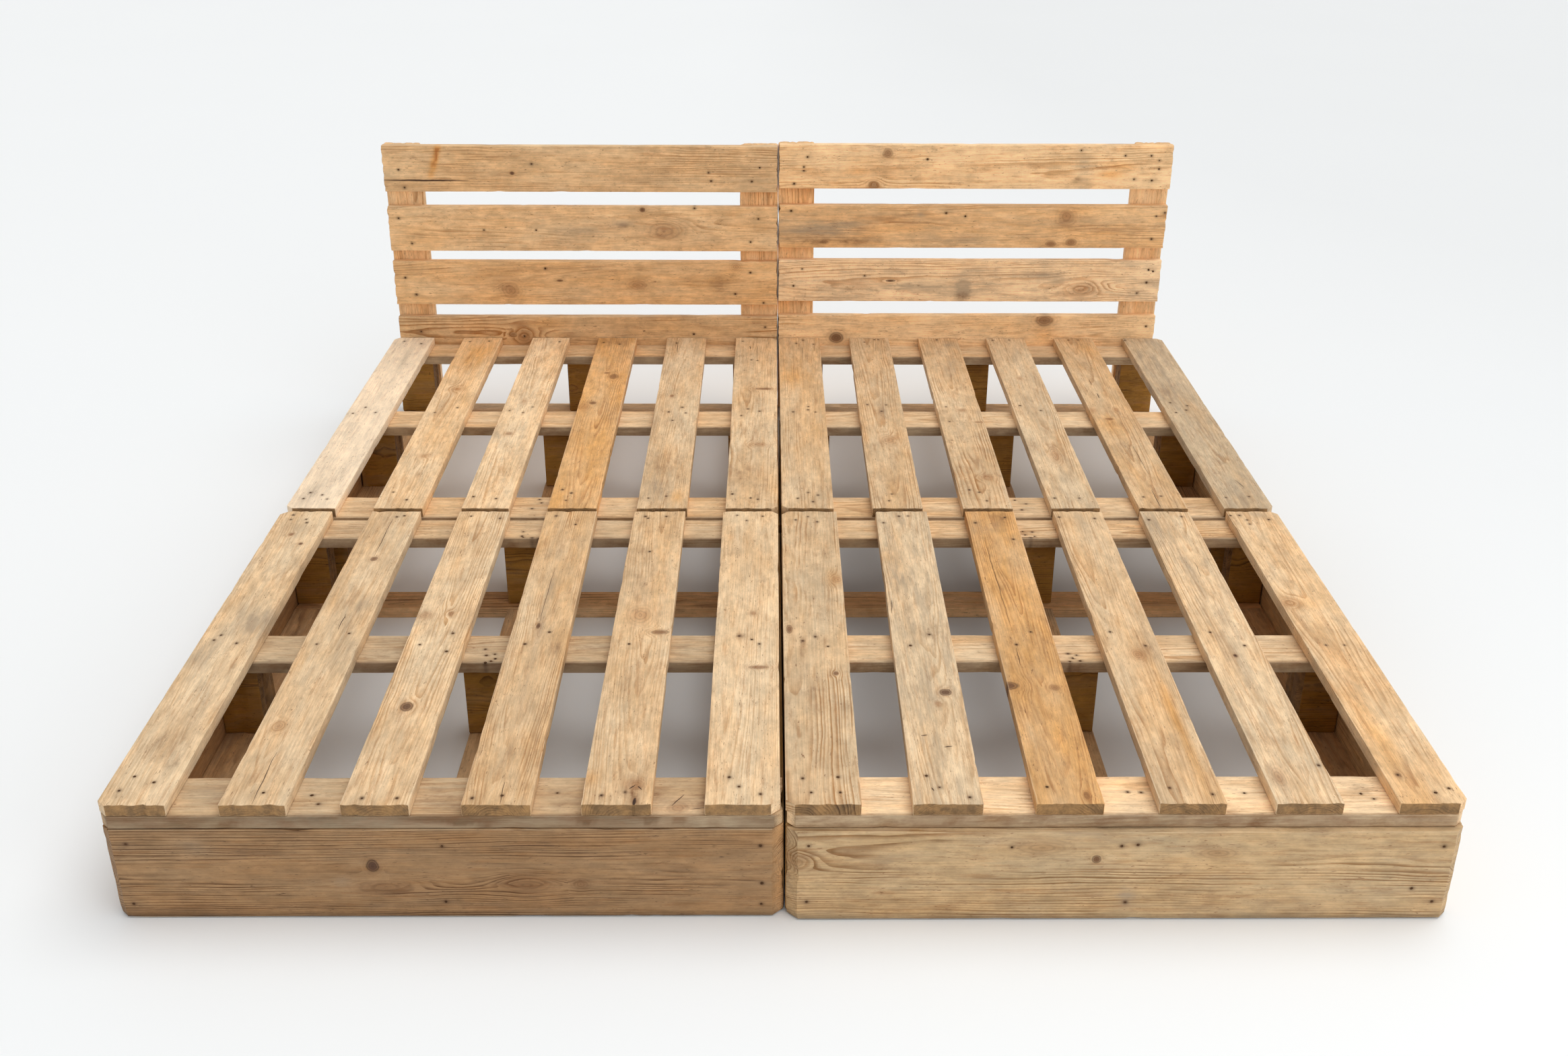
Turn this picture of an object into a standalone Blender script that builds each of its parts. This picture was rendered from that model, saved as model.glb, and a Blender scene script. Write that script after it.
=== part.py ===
"""Pallet bed: four wooden pallets laid two by two, and a headboard of two slatted panels.

Metres, +Z up. The foot of the bed faces -Y and the headboard stands at +Y. Left and right are
those of someone who stands at the foot and looks at the headboard. The origin lies on the
floor, under the centre of the bed's outer box.
"""

import math
from dataclasses import dataclass

import bmesh
import bpy
from mathutils import Vector

# Gaps. Pieces that touch on the real bed keep the seating gap.
SEATING_GAP = 0.0003
CENTRE_GAP = 0.010
ROW_GAP = 0.012

# The plan of a pallet. Its four upright corners are cut off at 45 degrees.
PALLET_WIDTH = 1.000
FOOT_PALLET_LENGTH = 1.000
HEAD_PALLET_LENGTH = 1.045
CORNER_CUT = 0.013

# Deck boards, which run along Y on top.
DECK_BOARD_COUNT = 6
DECK_BOARD_WIDTH = 0.102
DECK_BOARD_THICKNESS = 0.020

# No pallet is nailed evenly: how far each board's left and right edge lie off their places in an
# even spacing, board by board from the left.
DECK_EDGE_SHIFTS = {
    "foot_left": ((0, 0), (0.0005, -0.003), (-0.0025, -0.0035), (-0.0065, -0.0065), (-0.010, -0.009), (-0.010, 0)),
    "foot_right": ((0, 0.006), (0.005, 0.007), (0.006, 0.0045), (0.0065, 0.0035), (0.0005, -0.0015), (0, 0)),
    "head_left": ((0.005, 0.0045), (0.004, 0.002), (0.0025, -0.0025), (-0.004, -0.0055), (-0.0035, -0.003), (-0.0035, 0)),
    "head_right": ((0, 0.002), (0.002, 0.003), (0.005, 0.005), (0.004, 0.002), (0.002, 0.001), (0, 0)),
}
EVEN_EDGES = (0, 0)

# Cross-boards, which run along X under the deck boards. The middle one lies off the pallet's
# middle by its shift.
CROSS_BOARD_THICKNESS = 0.021
FOOT_FRONT_CROSS_WIDTH = 0.0995
FOOT_MIDDLE_CROSS_WIDTH = 0.094
FOOT_REAR_CROSS_WIDTH = 0.0845
FOOT_MIDDLE_CROSS_SHIFT = -0.015
HEAD_FRONT_CROSS_WIDTH = 0.098
HEAD_MIDDLE_CROSS_WIDTH = 0.100
HEAD_REAR_CROSS_WIDTH = 0.091
HEAD_MIDDLE_CROSS_SHIFT = 0.0065

# Blocks, three rows of three. The outer and inner columns stand in from the pallet's sides by
# the thickness of a side board. The middle and rear rows stand back from the front edge of
# their cross-board.
BLOCK_HEIGHT = 0.141
FOOT_SIDE_BLOCK_WIDTH = 0.075
FOOT_CENTRE_BLOCK_WIDTH = 0.098
HEAD_SIDE_BLOCK_WIDTH = 0.091
HEAD_CENTRE_BLOCK_WIDTH = 0.088
FRONT_BLOCK_DEPTH = 0.080
MIDDLE_BLOCK_DEPTH = 0.075
BLOCK_SETBACK = 0.027
REAR_SETBACK = 0.003

# Base boards, which lie on the floor: three runners along Y, and one board along X at the rear.
BASE_BOARD_THICKNESS = 0.022
SIDE_RUNNER_WIDTH = 0.098
CENTRE_RUNNER_WIDTH = 0.096
REAR_BASE_BOARD_WIDTH = 0.072

# Boards nailed over the blocks, one across each foot pallet's front and one on each outer side.
FASCIA_HEIGHT = 0.160
FASCIA_FLOOR_GAP = 0.002
FRONT_FASCIA_THICKNESS = 0.020
LEFT_FASCIA_PROUD = 0.002
RIGHT_FASCIA_PROUD = 0.011
SIDE_FASCIA_THICKNESS = 0.022

# Headboard panels, one behind each half of the bed. Each slat's top is a share of the rise,
# measured up from the deck. The left panel stands lower than the right one, and its slats are
# wider.
PANEL_SIDE_INSET = 0.0195
PANEL_CENTRE_GAP = 0.007
PANEL_WIDTH = PALLET_WIDTH + (CENTRE_GAP - PANEL_CENTRE_GAP) / 2 - PANEL_SIDE_INSET
HEADBOARD_RISE = 0.503
LEFT_PANEL_DROP = 0.005
LEFT_SLAT_HEIGHT = 0.115
RIGHT_SLAT_HEIGHT = 0.110
SLAT_THICKNESS = 0.020
SLAT_TOP_SHARES = (1.0, 0.698, 0.4155, 0.1223)
POST_WIDTH = 0.093
NARROW_POST_WIDTH = 0.088
POST_THICKNESS = 0.021
POST_CORNER_RADIUS = 0.007
POST_CORNER_STEPS = 4

# Levels, from the floor up.
BLOCK_TOP = BASE_BOARD_THICKNESS + BLOCK_HEIGHT
CROSS_BOARD_BOTTOM = BLOCK_TOP + SEATING_GAP
CROSS_BOARD_TOP = CROSS_BOARD_BOTTOM + CROSS_BOARD_THICKNESS
DECK_BOTTOM = CROSS_BOARD_TOP + SEATING_GAP
DECK_TOP = DECK_BOTTOM + DECK_BOARD_THICKNESS
FASCIA_TOP = FASCIA_FLOOR_GAP + FASCIA_HEIGHT

# Places along Y, with the outer box centred on zero.
BED_FRONT_TO_DECK = max(LEFT_FASCIA_PROUD, RIGHT_FASCIA_PROUD)
DECK_LENGTH = FOOT_PALLET_LENGTH + ROW_GAP + HEAD_PALLET_LENGTH
HEADBOARD_DEPTH = SEATING_GAP + SLAT_THICKNESS + SEATING_GAP + POST_THICKNESS
FOOT_START = BED_FRONT_TO_DECK - (BED_FRONT_TO_DECK + DECK_LENGTH + HEADBOARD_DEPTH) / 2
HEAD_START = FOOT_START + FOOT_PALLET_LENGTH + ROW_GAP
DECK_END = HEAD_START + HEAD_PALLET_LENGTH

# Wood colours, linear, with the grain and stains left to the looks.
PALE = (0.76, 0.57, 0.33)
GREYED = (0.60, 0.47, 0.30)
ORANGE = (0.69, 0.38, 0.14)
REDDISH = (0.33, 0.20, 0.10)
YELLOWISH = (0.60, 0.44, 0.24)
SHADED = (0.42, 0.27, 0.15)
WARM = (0.58, 0.33, 0.15)
WOOD_ROUGHNESS = 0.72
DECK_COLOURS = {
    "foot_left": (PALE, PALE, PALE, PALE, PALE, PALE),
    "foot_right": (YELLOWISH, GREYED, ORANGE, PALE, PALE, PALE),
    "head_left": (GREYED, PALE, PALE, ORANGE, PALE, PALE),
    "head_right": (PALE, PALE, PALE, PALE, YELLOWISH, GREYED),
}


@dataclass(frozen=True)
class Pallet:
    """One pallet. Its own frame has X = 0 on its middle line and Y = 0 at its front end."""

    row: str
    side: str
    length: float
    cross_widths: tuple
    middle_shift: float
    block_widths: tuple
    start: float
    fascia_proud: float

    @property
    def name(self):
        return f"{self.row}_{self.side}"

    @property
    def outward(self):
        """-1 where the outer side faces -X, 1 where it faces +X."""
        return -1 if self.side == "left" else 1

    @property
    def has_front_fascia(self):
        return self.row == "foot"

    def cross_spans(self):
        """(front, rear) of each cross-board along Y."""
        front, middle, rear = self.cross_widths
        centre = self.length / 2 + self.middle_shift
        return (
            (0, front),
            (centre - middle / 2, centre + middle / 2),
            (self.length - rear, self.length),
        )

    def block_spans(self):
        """(front, rear) of each row of blocks along Y."""
        front, middle, rear = self.cross_spans()
        front_face = front[1] - FRONT_BLOCK_DEPTH
        if self.has_front_fascia:
            front_face = FRONT_FASCIA_THICKNESS - self.fascia_proud + SEATING_GAP
        middle_face = middle[0] + BLOCK_SETBACK
        return (
            (front_face, front_face + FRONT_BLOCK_DEPTH),
            (middle_face, middle_face + MIDDLE_BLOCK_DEPTH),
            (rear[0] + BLOCK_SETBACK, rear[1] - REAR_SETBACK),
        )

    def columns(self):
        """(centre, block width, runner's low X, runner's high X) of each column of blocks."""
        side_width, centre_width = self.block_widths
        face = PALLET_WIDTH / 2 - SIDE_FASCIA_THICKNESS - SEATING_GAP
        centre = face - side_width / 2
        half = CENTRE_RUNNER_WIDTH / 2
        return (
            (-centre, side_width, -face, -face + SIDE_RUNNER_WIDTH),
            (0, centre_width, -half, half),
            (centre, side_width, face - SIDE_RUNNER_WIDTH, face),
        )


def clear_scene():
    for obj in list(bpy.data.objects):
        bpy.data.objects.remove(obj, do_unlink=True)


def wood(name, colour):
    material = bpy.data.materials.new(name)
    material.use_nodes = True
    shader = material.node_tree.nodes["Principled BSDF"]
    shader.inputs["Base Color"].default_value = (*colour, 1)
    shader.inputs["Roughness"].default_value = WOOD_ROUGHNESS
    shader.inputs["Metallic"].default_value = 0
    return material


def frame_empty(name, location):
    empty = bpy.data.objects.new(name, None)
    empty.location = location
    bpy.context.scene.collection.objects.link(empty)
    return empty


def plank(name, low, high, parent, colour, collection=None):
    """A box between two opposite corners in its parent's frame, with its origin at its centre."""
    low = Vector(low)
    size = Vector(high) - low
    mesh = bpy.data.meshes.new(name)
    shape = bmesh.new()
    bmesh.ops.create_cube(shape, size=1)
    bmesh.ops.scale(shape, vec=size, verts=shape.verts)
    shape.to_mesh(mesh)
    shape.free()
    mesh.materials.append(wood(name, colour))
    obj = bpy.data.objects.new(name, mesh)
    obj.parent = parent
    obj.location = low + size / 2
    (collection or bpy.context.scene.collection).objects.link(obj)
    return obj


def cut_edges(obj, along, corners, width, steps=1):
    """Bevels the box edges parallel to one axis, at these (sign, sign) corners of the others."""
    others = [axis for axis in range(3) if axis != along]
    shape = bmesh.new()
    shape.from_mesh(obj.data)
    chosen = []
    for edge in shape.edges:
        start, end = (vert.co for vert in edge.verts)
        if any(start[axis] * end[axis] < 0 for axis in others):
            continue
        signs = tuple(int(math.copysign(1, start[axis])) for axis in others)
        if signs in corners:
            chosen.append(edge)
    bmesh.ops.bevel(
        shape, geom=chosen, offset=width, offset_type="OFFSET", segments=steps, profile=0.5, affect="EDGES"
    )
    shape.to_mesh(obj.data)
    shape.free()


def deck_boards(pallet, parent):
    pitch = (PALLET_WIDTH - DECK_BOARD_WIDTH) / (DECK_BOARD_COUNT - 1)
    shifts = DECK_EDGE_SHIFTS[pallet.name]
    for index in range(DECK_BOARD_COUNT):
        x = -PALLET_WIDTH / 2 + index * pitch
        left_shift, right_shift = shifts[index] if index < len(shifts) else EVEN_EDGES
        board = plank(
            f"{pallet.name}_deck_board_{index + 1}",
            (x + left_shift, 0, DECK_BOTTOM),
            (x + DECK_BOARD_WIDTH + right_shift, pallet.length, DECK_TOP),
            parent,
            DECK_COLOURS[pallet.name][index % len(DECK_COLOURS[pallet.name])],
        )
        if index == 0:
            cut_edges(board, 2, {(-1, -1), (-1, 1)}, CORNER_CUT)
        if index == DECK_BOARD_COUNT - 1:
            cut_edges(board, 2, {(1, -1), (1, 1)}, CORNER_CUT)


def cross_boards(pallet, parent):
    half = PALLET_WIDTH / 2
    end_corners = ({(-1, -1), (1, -1)}, set(), {(-1, 1), (1, 1)})
    for index, (front, rear) in enumerate(pallet.cross_spans()):
        board = plank(
            f"{pallet.name}_cross_board_{index + 1}",
            (-half, front, CROSS_BOARD_BOTTOM),
            (half, rear, CROSS_BOARD_TOP),
            parent,
            SHADED,
        )
        if end_corners[index]:
            cut_edges(board, 2, end_corners[index], CORNER_CUT)


def base_frame(pallet, parent):
    """The nine blocks, four base boards and inner side board of a pallet, nailed together and joined here."""
    name = f"{pallet.name}_base_frame"
    pieces = bpy.data.collections.new(f"{name}_pieces")
    bpy.context.scene.collection.children.link(pieces)
    rows = pallet.block_spans()
    front, rear = rows[0][0], rows[-1][1]
    columns = pallet.columns()
    rear_board_front = rear - REAR_BASE_BOARD_WIDTH
    frame = plank(
        name,
        (columns[0][2], rear_board_front, 0),
        (columns[-1][3], rear, BASE_BOARD_THICKNESS),
        parent,
        SHADED,
    )
    # The inner side board mirrors the outer one, and closes the gap between two pallets to view.
    inner_face = -pallet.outward * (PALLET_WIDTH / 2 - SIDE_FASCIA_THICKNESS - 2 * SEATING_GAP)
    inner_edge = -pallet.outward * PALLET_WIDTH / 2
    side_front, side_rear = (front, pallet.length) if pallet.has_front_fascia else (0, rows[1][1])
    side_board = plank(
        f"{name}_inner_side_board",
        (min(inner_face, inner_edge), side_front, FASCIA_FLOOR_GAP),
        (max(inner_face, inner_edge), side_rear, FASCIA_TOP),
        parent,
        SHADED,
        pieces,
    )
    cut_edges(side_board, 2, {(-pallet.outward, 1 if pallet.has_front_fascia else -1)}, CORNER_CUT)
    for column, (centre, block_width, low_x, high_x) in enumerate(columns):
        plank(
            f"{name}_runner_{column + 1}",
            (low_x, front, 0),
            (high_x, rear_board_front + REAR_BASE_BOARD_WIDTH / 2, BASE_BOARD_THICKNESS),
            parent,
            SHADED,
            pieces,
        )
        for row, (block_front, block_rear) in enumerate(rows):
            plank(
                f"{name}_block_{row + 1}_{column + 1}",
                (centre - block_width / 2, block_front, BASE_BOARD_THICKNESS / 2),
                (centre + block_width / 2, block_rear, BLOCK_TOP),
                parent,
                SHADED,
                pieces,
            )
    for piece in pieces.objects:
        piece.hide_render = True
        piece.display_type = "WIRE"
    union = frame.modifiers.new("join", "BOOLEAN")
    union.operation = "UNION"
    union.operand_type = "COLLECTION"
    union.collection = pieces
    union.solver = "EXACT"


def front_fascia(pallet, parent):
    half = PALLET_WIDTH / 2
    board = plank(
        f"{pallet.name}_front_fascia",
        (-half, -pallet.fascia_proud, FASCIA_FLOOR_GAP),
        (half, FRONT_FASCIA_THICKNESS - pallet.fascia_proud, FASCIA_TOP),
        parent,
        REDDISH if pallet.side == "left" else YELLOWISH,
    )
    cut_edges(board, 2, {(-1, -1), (1, -1)}, CORNER_CUT)


def side_fascia(pallet, parent):
    """It covers a foot pallet's whole side, and a head pallet's as far as the middle blocks."""
    outer = pallet.outward * PALLET_WIDTH / 2
    inner = outer - pallet.outward * SIDE_FASCIA_THICKNESS
    if pallet.has_front_fascia:
        front = FRONT_FASCIA_THICKNESS - pallet.fascia_proud + SEATING_GAP
        rear = pallet.length
        cut_corner = (pallet.outward, 1)
    else:
        front = 0
        rear = pallet.block_spans()[1][1]
        cut_corner = (pallet.outward, -1)
    board = plank(
        f"{pallet.name}_side_fascia",
        (min(outer, inner), front, FASCIA_FLOOR_GAP),
        (max(outer, inner), rear, FASCIA_TOP),
        parent,
        REDDISH if pallet.side == "left" else YELLOWISH,
    )
    cut_edges(board, 2, {cut_corner}, CORNER_CUT)


def pallet_parts(pallet):
    x = pallet.outward * (CENTRE_GAP + PALLET_WIDTH) / 2
    parent = frame_empty(f"{pallet.name}_pallet", (x, pallet.start, 0))
    base_frame(pallet, parent)
    cross_boards(pallet, parent)
    deck_boards(pallet, parent)
    side_fascia(pallet, parent)
    if pallet.has_front_fascia:
        front_fascia(pallet, parent)


def headboard_panel(side):
    """Four slats against the deck's end and, behind them, two posts down to the floor."""
    outward = -1 if side == "left" else 1
    panel_top = DECK_TOP + HEADBOARD_RISE - (LEFT_PANEL_DROP if side == "left" else 0)
    slat_height = LEFT_SLAT_HEIGHT if side == "left" else RIGHT_SLAT_HEIGHT
    x = outward * (PANEL_CENTRE_GAP + PANEL_WIDTH) / 2
    parent = frame_empty(f"headboard_{side}", (x, DECK_END + SEATING_GAP, 0))
    half = PANEL_WIDTH / 2
    for index, share in enumerate(SLAT_TOP_SHARES):
        top = panel_top - (1 - share) * HEADBOARD_RISE
        plank(
            f"headboard_{side}_slat_{index + 1}",
            (-half, 0, top - slat_height),
            (half, SLAT_THICKNESS, top),
            parent,
            PALE,
        )
    post_front = SLAT_THICKNESS + SEATING_GAP
    for place, sign in (("inner", -outward), ("outer", outward)):
        width = NARROW_POST_WIDTH if (side, place) == ("right", "inner") else POST_WIDTH
        edge = sign * half
        inside = edge - sign * width
        post = plank(
            f"headboard_{side}_{place}_post",
            (min(edge, inside), post_front, 0),
            (max(edge, inside), post_front + POST_THICKNESS, panel_top),
            parent,
            WARM,
        )
        cut_edges(post, 1, {(-1, 1), (1, 1)}, POST_CORNER_RADIUS, POST_CORNER_STEPS)


def build_bed():
    clear_scene()
    foot_widths = (FOOT_FRONT_CROSS_WIDTH, FOOT_MIDDLE_CROSS_WIDTH, FOOT_REAR_CROSS_WIDTH)
    head_widths = (HEAD_FRONT_CROSS_WIDTH, HEAD_MIDDLE_CROSS_WIDTH, HEAD_REAR_CROSS_WIDTH)
    foot_blocks = (FOOT_SIDE_BLOCK_WIDTH, FOOT_CENTRE_BLOCK_WIDTH)
    head_blocks = (HEAD_SIDE_BLOCK_WIDTH, HEAD_CENTRE_BLOCK_WIDTH)
    foot = (FOOT_PALLET_LENGTH, foot_widths, FOOT_MIDDLE_CROSS_SHIFT, foot_blocks, FOOT_START)
    head = (HEAD_PALLET_LENGTH, head_widths, HEAD_MIDDLE_CROSS_SHIFT, head_blocks, HEAD_START)
    for side, proud in (("left", LEFT_FASCIA_PROUD), ("right", RIGHT_FASCIA_PROUD)):
        pallet_parts(Pallet("foot", side, *foot, proud))
        pallet_parts(Pallet("head", side, *head, 0))
        headboard_panel(side)


build_bed()
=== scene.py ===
# %% [markdown]
# # A bed of four wooden pallets
#
# The bed is four pallets that lie two by two on the floor, and a headboard of two slatted
# panels. Everything on it is sawn softwood: pine and spruce boards, nailed, never planed and
# never finished. This script dresses the plain CAD boxes: each board gets worn edges, ragged
# ends, knots, cracks and nails, and a wood whose growth rings run through the solid.

import bpy
import numpy as np
from mathutils import Matrix, Vector


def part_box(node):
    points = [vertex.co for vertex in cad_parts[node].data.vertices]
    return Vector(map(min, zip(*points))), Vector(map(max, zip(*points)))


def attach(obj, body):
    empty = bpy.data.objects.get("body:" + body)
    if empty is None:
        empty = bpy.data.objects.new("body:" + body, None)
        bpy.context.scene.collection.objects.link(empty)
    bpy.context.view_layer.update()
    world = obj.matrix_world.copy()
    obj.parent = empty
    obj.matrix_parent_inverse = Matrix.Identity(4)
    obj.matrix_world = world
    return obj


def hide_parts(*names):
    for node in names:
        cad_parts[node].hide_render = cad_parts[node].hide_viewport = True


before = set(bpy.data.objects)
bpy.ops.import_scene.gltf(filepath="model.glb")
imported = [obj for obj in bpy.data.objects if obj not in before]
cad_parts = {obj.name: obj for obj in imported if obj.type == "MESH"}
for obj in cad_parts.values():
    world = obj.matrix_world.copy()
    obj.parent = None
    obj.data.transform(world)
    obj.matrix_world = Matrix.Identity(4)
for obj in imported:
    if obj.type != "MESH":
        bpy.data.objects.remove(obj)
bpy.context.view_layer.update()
MM = 0.001

# %% [markdown]
# ## The camera
#
# The picture was taken from the foot of the bed, at the height of a standing person's eyes,
# with a slightly long lens. Its place and angles were fitted to the corners of the deck.
# A camera looks along its own -Z with +Y up, so three unit vectors give its rotation.

# %% Camera
EYE = (-0.0242, -2.9650, 1.5899)
YAW, PITCH, ROLL = np.radians((0.6191, 25.982, 0.277))
SENSOR_MM, PICTURE_WIDTH, FOCAL_PIXELS = 36.0, 2329, 2375.19

forward = np.array((np.sin(YAW) * np.cos(PITCH), np.cos(YAW) * np.cos(PITCH), -np.sin(PITCH)))
level = np.array((np.cos(YAW), -np.sin(YAW), 0.0))
upward = np.cross(level, forward)
right = np.cos(ROLL) * level + np.sin(ROLL) * upward
above = np.cos(ROLL) * upward - np.sin(ROLL) * level
pose = np.eye(4)
pose[:3, :3] = np.stack((right, above, -forward), axis=1)
pose[:3, 3] = EYE
lens = bpy.data.cameras.new("camera")
lens.sensor_width = SENSOR_MM
lens.lens = SENSOR_MM * FOCAL_PIXELS / PICTURE_WIDTH
camera = bpy.data.objects.new("camera", lens)
camera.matrix_world = Matrix(pose.tolist())
bpy.context.scene.collection.objects.link(camera)
bpy.context.scene.camera = camera
print(f"lens {lens.lens:.2f} mm")

# %% [markdown]
# ## Colours and nodes
#
# Colours are written as sRGB hex, as a paint program shows them, and Blender's shaders want
# linear light. One function adds every node.

# %% Helpers for materials


def linear(hex_colour):
    """An sRGB hex colour as linear RGBA: each channel is undone from the sRGB curve."""
    value = np.array([int(hex_colour[i : i + 2], 16) for i in (1, 3, 5)]) / 255
    value = np.where(value <= 0.04045, value / 12.92, ((value + 0.055) / 1.055) ** 2.4)
    return (*value.tolist(), 1.0)


def add(tree, kind, inputs=(), **settings):
    """Adds a node with its settings, gives each input a value or a link, returns its first output."""
    node = tree.nodes.new(kind)
    for key, value in settings.items():
        setattr(node, key, value)
    for socket, value in dict(inputs).items():
        if isinstance(value, bpy.types.NodeSocket):
            tree.links.new(value, node.inputs[socket])
        else:
            node.inputs[socket].default_value = value
    return node.outputs[0]


def new_material(name):
    """An empty node tree with a Principled shader on its output; returns material, tree, shader."""
    material = bpy.data.materials.new(name)
    material.use_nodes = True
    tree = material.node_tree
    return material, tree, tree.nodes["Principled BSDF"]


# %% [markdown]
# ## Sawn pine
#
# Pine grows a pale band in spring and a narrow darker one in summer, so a log is a stack of
# cones. A board is a flat cut through it: near the middle of the log the rings show as tall
# arches, further out as lines. The material does the same: each board carries, in an attribute
# called `grain`, where each of its points lay in the log, along the stem and across it from the
# pith, and the rings are the distance from the pith. Knots push the rings aside. Every length
# is in metres, and the ring spacing is a real one, about 3 mm.

# %% The wood's colours and sizes
RING_SPACING = 3.2 * MM
MATH, VECTOR, COMBINE = "ShaderNodeMath", "ShaderNodeVectorMath", "ShaderNodeCombineXYZ"
SIGNS = {"+": "ADD", "-": "SUBTRACT", "*": "MULTIPLY", "/": "DIVIDE"}
END_WOOD, END_RINGS, RESIN_STREAK, WEATHERED = "#9A7549", "#573A20", "#B07A48", "#A18F78"


def calculator(tree):
    """Returns calc(operation, values): math nodes for a tree. "+" and "*" take any number of
    values, from the left; clamp keeps the last result within 0..1."""

    def calc(operation, *values, clamp=False):
        kind = SIGNS.get(operation, operation)
        while operation in SIGNS and len(values) > 2:
            values = (add(tree, MATH, dict(enumerate(values[:2])), operation=kind), *values[2:])
        return add(tree, MATH, dict(enumerate(values)), operation=kind, use_clamp=clamp)

    return calc


def sawn_pine(name, spring, summer, amber_spring, amber_summer, grime="#7A5231", roughness=0.66):
    """Unfinished sawn pine. It reads what make_board has written on the board."""
    material, tree, shader = new_material(name)
    calc = calculator(tree)

    def ramp(value, low, high, out_low=0.0, out_high=1.0):
        """Smoothstep from one range to another."""
        inputs = {"Value": value, "From Min": low, "From Max": high, "To Min": out_low, "To Max": out_high}
        return add(tree, "ShaderNodeMapRange", inputs, interpolation_type="SMOOTHSTEP")

    def bell(distance, sharpness):
        """exp(-sharpness * distance^2)"""
        return calc("EXPONENT", calc("*", distance, distance, -sharpness))

    def attribute(label, output="Vector"):
        return add(tree, "ShaderNodeAttribute", attribute_name=label).node.outputs[output]

    def parts(vector):
        return add(tree, "ShaderNodeSeparateXYZ", {0: vector}).node.outputs

    def cloud(stretch, detail=2.0):
        """Noise along the grain whose clouds are 1/stretch metres long in each direction."""
        place = add(tree, VECTOR, {0: grain, 1: stretch}, operation="MULTIPLY")
        inputs = {"Vector": place, "Scale": 1.0, "Detail": detail, "Roughness": 0.7 if detail > 2 else 0.5}
        return add(tree, "ShaderNodeTexNoise", inputs)

    def blend(factor, first, second, kind="MIX"):
        """Mixes two colours; each is a link or a hex string."""
        first, second = (linear(c) if isinstance(c, str) else c for c in (first, second))
        settings = dict(data_type="RGBA", blend_type=kind, clamp_factor=True)
        return add(tree, "ShaderNodeMix", {"Factor": factor, 6: first, 7: second}, **settings).node.outputs[2]

    grain = attribute("grain")
    labels = ("knot", "crack", "tone", "stain", "nail")
    knot, crack, tone, stain, nail = (parts(attribute(label)) for label in labels)
    labels = ("knot_size", "tone_and_painted_light", "edge", "sawn")
    knot_size, tone_and_painted_light, edge, sawn = (attribute(label, "Fac") for label in labels)

    # The stem isn't straight: two noises push the rings a few millimetres either way.
    slow, quick = cloud((1.7, 13, 13)), cloud((8, 55, 55))
    place = grain
    for noise, reach in ((slow, 0.016), (quick, 0.0045)):
        push = add(tree, VECTOR, {0: noise.node.outputs["Color"], 1: (0.5, 0.5, 0.5)}, operation="SUBTRACT")
        push = add(tree, VECTOR, {0: push, 1: (0, reach, reach)}, operation="MULTIPLY")
        place = add(tree, VECTOR, {0: place, 1: push}, operation="ADD")

    # A knot: its distance in radii, with a ragged outline. The rings part round it.
    flat = add(tree, COMBINE, {0: knot[0], 1: knot[1]})
    away = add(tree, VECTOR, {0: flat}, operation="LENGTH").node.outputs["Value"]
    away = calc("+", away, calc("*", calc("-", quick, 0.5), 1.1))
    pull = calc("*", bell(away, 0.3), knot_size, -0.8)
    shift = add(tree, COMBINE, {1: calc("*", pull, knot[1]), 2: calc("*", pull, -0.7)})
    place = add(tree, VECTOR, {0: place, 1: shift}, operation="ADD")

    # Rings: the distance from the pith in ring widths, with wide and narrow years.
    across = add(tree, VECTOR, {0: place, 1: (0, 1, 1)}, operation="MULTIPLY")
    radius = add(tree, VECTOR, {0: across}, operation="LENGTH").node.outputs["Value"]
    years = add(tree, "ShaderNodeTexNoise", {"W": radius, "Scale": 75.0, "Detail": 1.0}, noise_dimensions="1D")
    age = calc("MULTIPLY_ADD", years, 2.4, calc("/", radius, RING_SPACING))
    season = calc("FRACT", age)
    band = calc("*", ramp(season, 0.3, 0.9), ramp(season, 0.93, 1.0, 1.0, 0.0))
    year = add(tree, "ShaderNodeTexWhiteNoise", {"W": calc("FLOOR", age)}, noise_dimensions="1D")
    contrast = calc("MULTIPLY_ADD", year, 0.75, 0.3)
    patch = cloud((3.1, 17, 17), 3.0)
    figure = calc("*", band, contrast, ramp(patch, 0.4, 0.63, 0.06, 1.0), tone[2], clamp=True)

    # Colour: spring wood to summer wood, warmer where the wood holds resin.
    hue = parts(patch.node.outputs["Color"])
    amber = calc("+", tone[0], stain[2], calc("*", calc("-", hue[1], 0.5), 1.45), clamp=True)
    colour = blend(figure, blend(amber, spring, amber_spring), blend(amber, summer, amber_summer))
    fibre = cloud((9, 620, 620), 3.0)
    colour = blend(1.0, colour, ramp(fibre, 0.32, 0.68, 0.88, 1.08), "MULTIPLY")
    streak = cloud((12, 170, 170), 5.0)
    colour = blend(ramp(streak, 0.5, 0.68, 0.0, 0.42), colour, RESIN_STREAK)
    mottle, grit = cloud((9, 24, 24), 5.0), cloud((34, 90, 90), 4.0)
    colour = blend(1.0, colour, ramp(mottle, 0.34, 0.66, 0.86, 1.08), "MULTIPLY")
    colour = blend(1.0, colour, ramp(grit, 0.34, 0.66, 0.89, 1.07), "MULTIPLY")
    colour = blend(calc("*", tone[0], -1.0, clamp=True), colour, "#F0E3D2")
    # The board's own paleness times painted light and shade: its light value and its shade stains.
    colour = blend(1.0, colour, tone_and_painted_light, "MULTIPLY")

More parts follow.
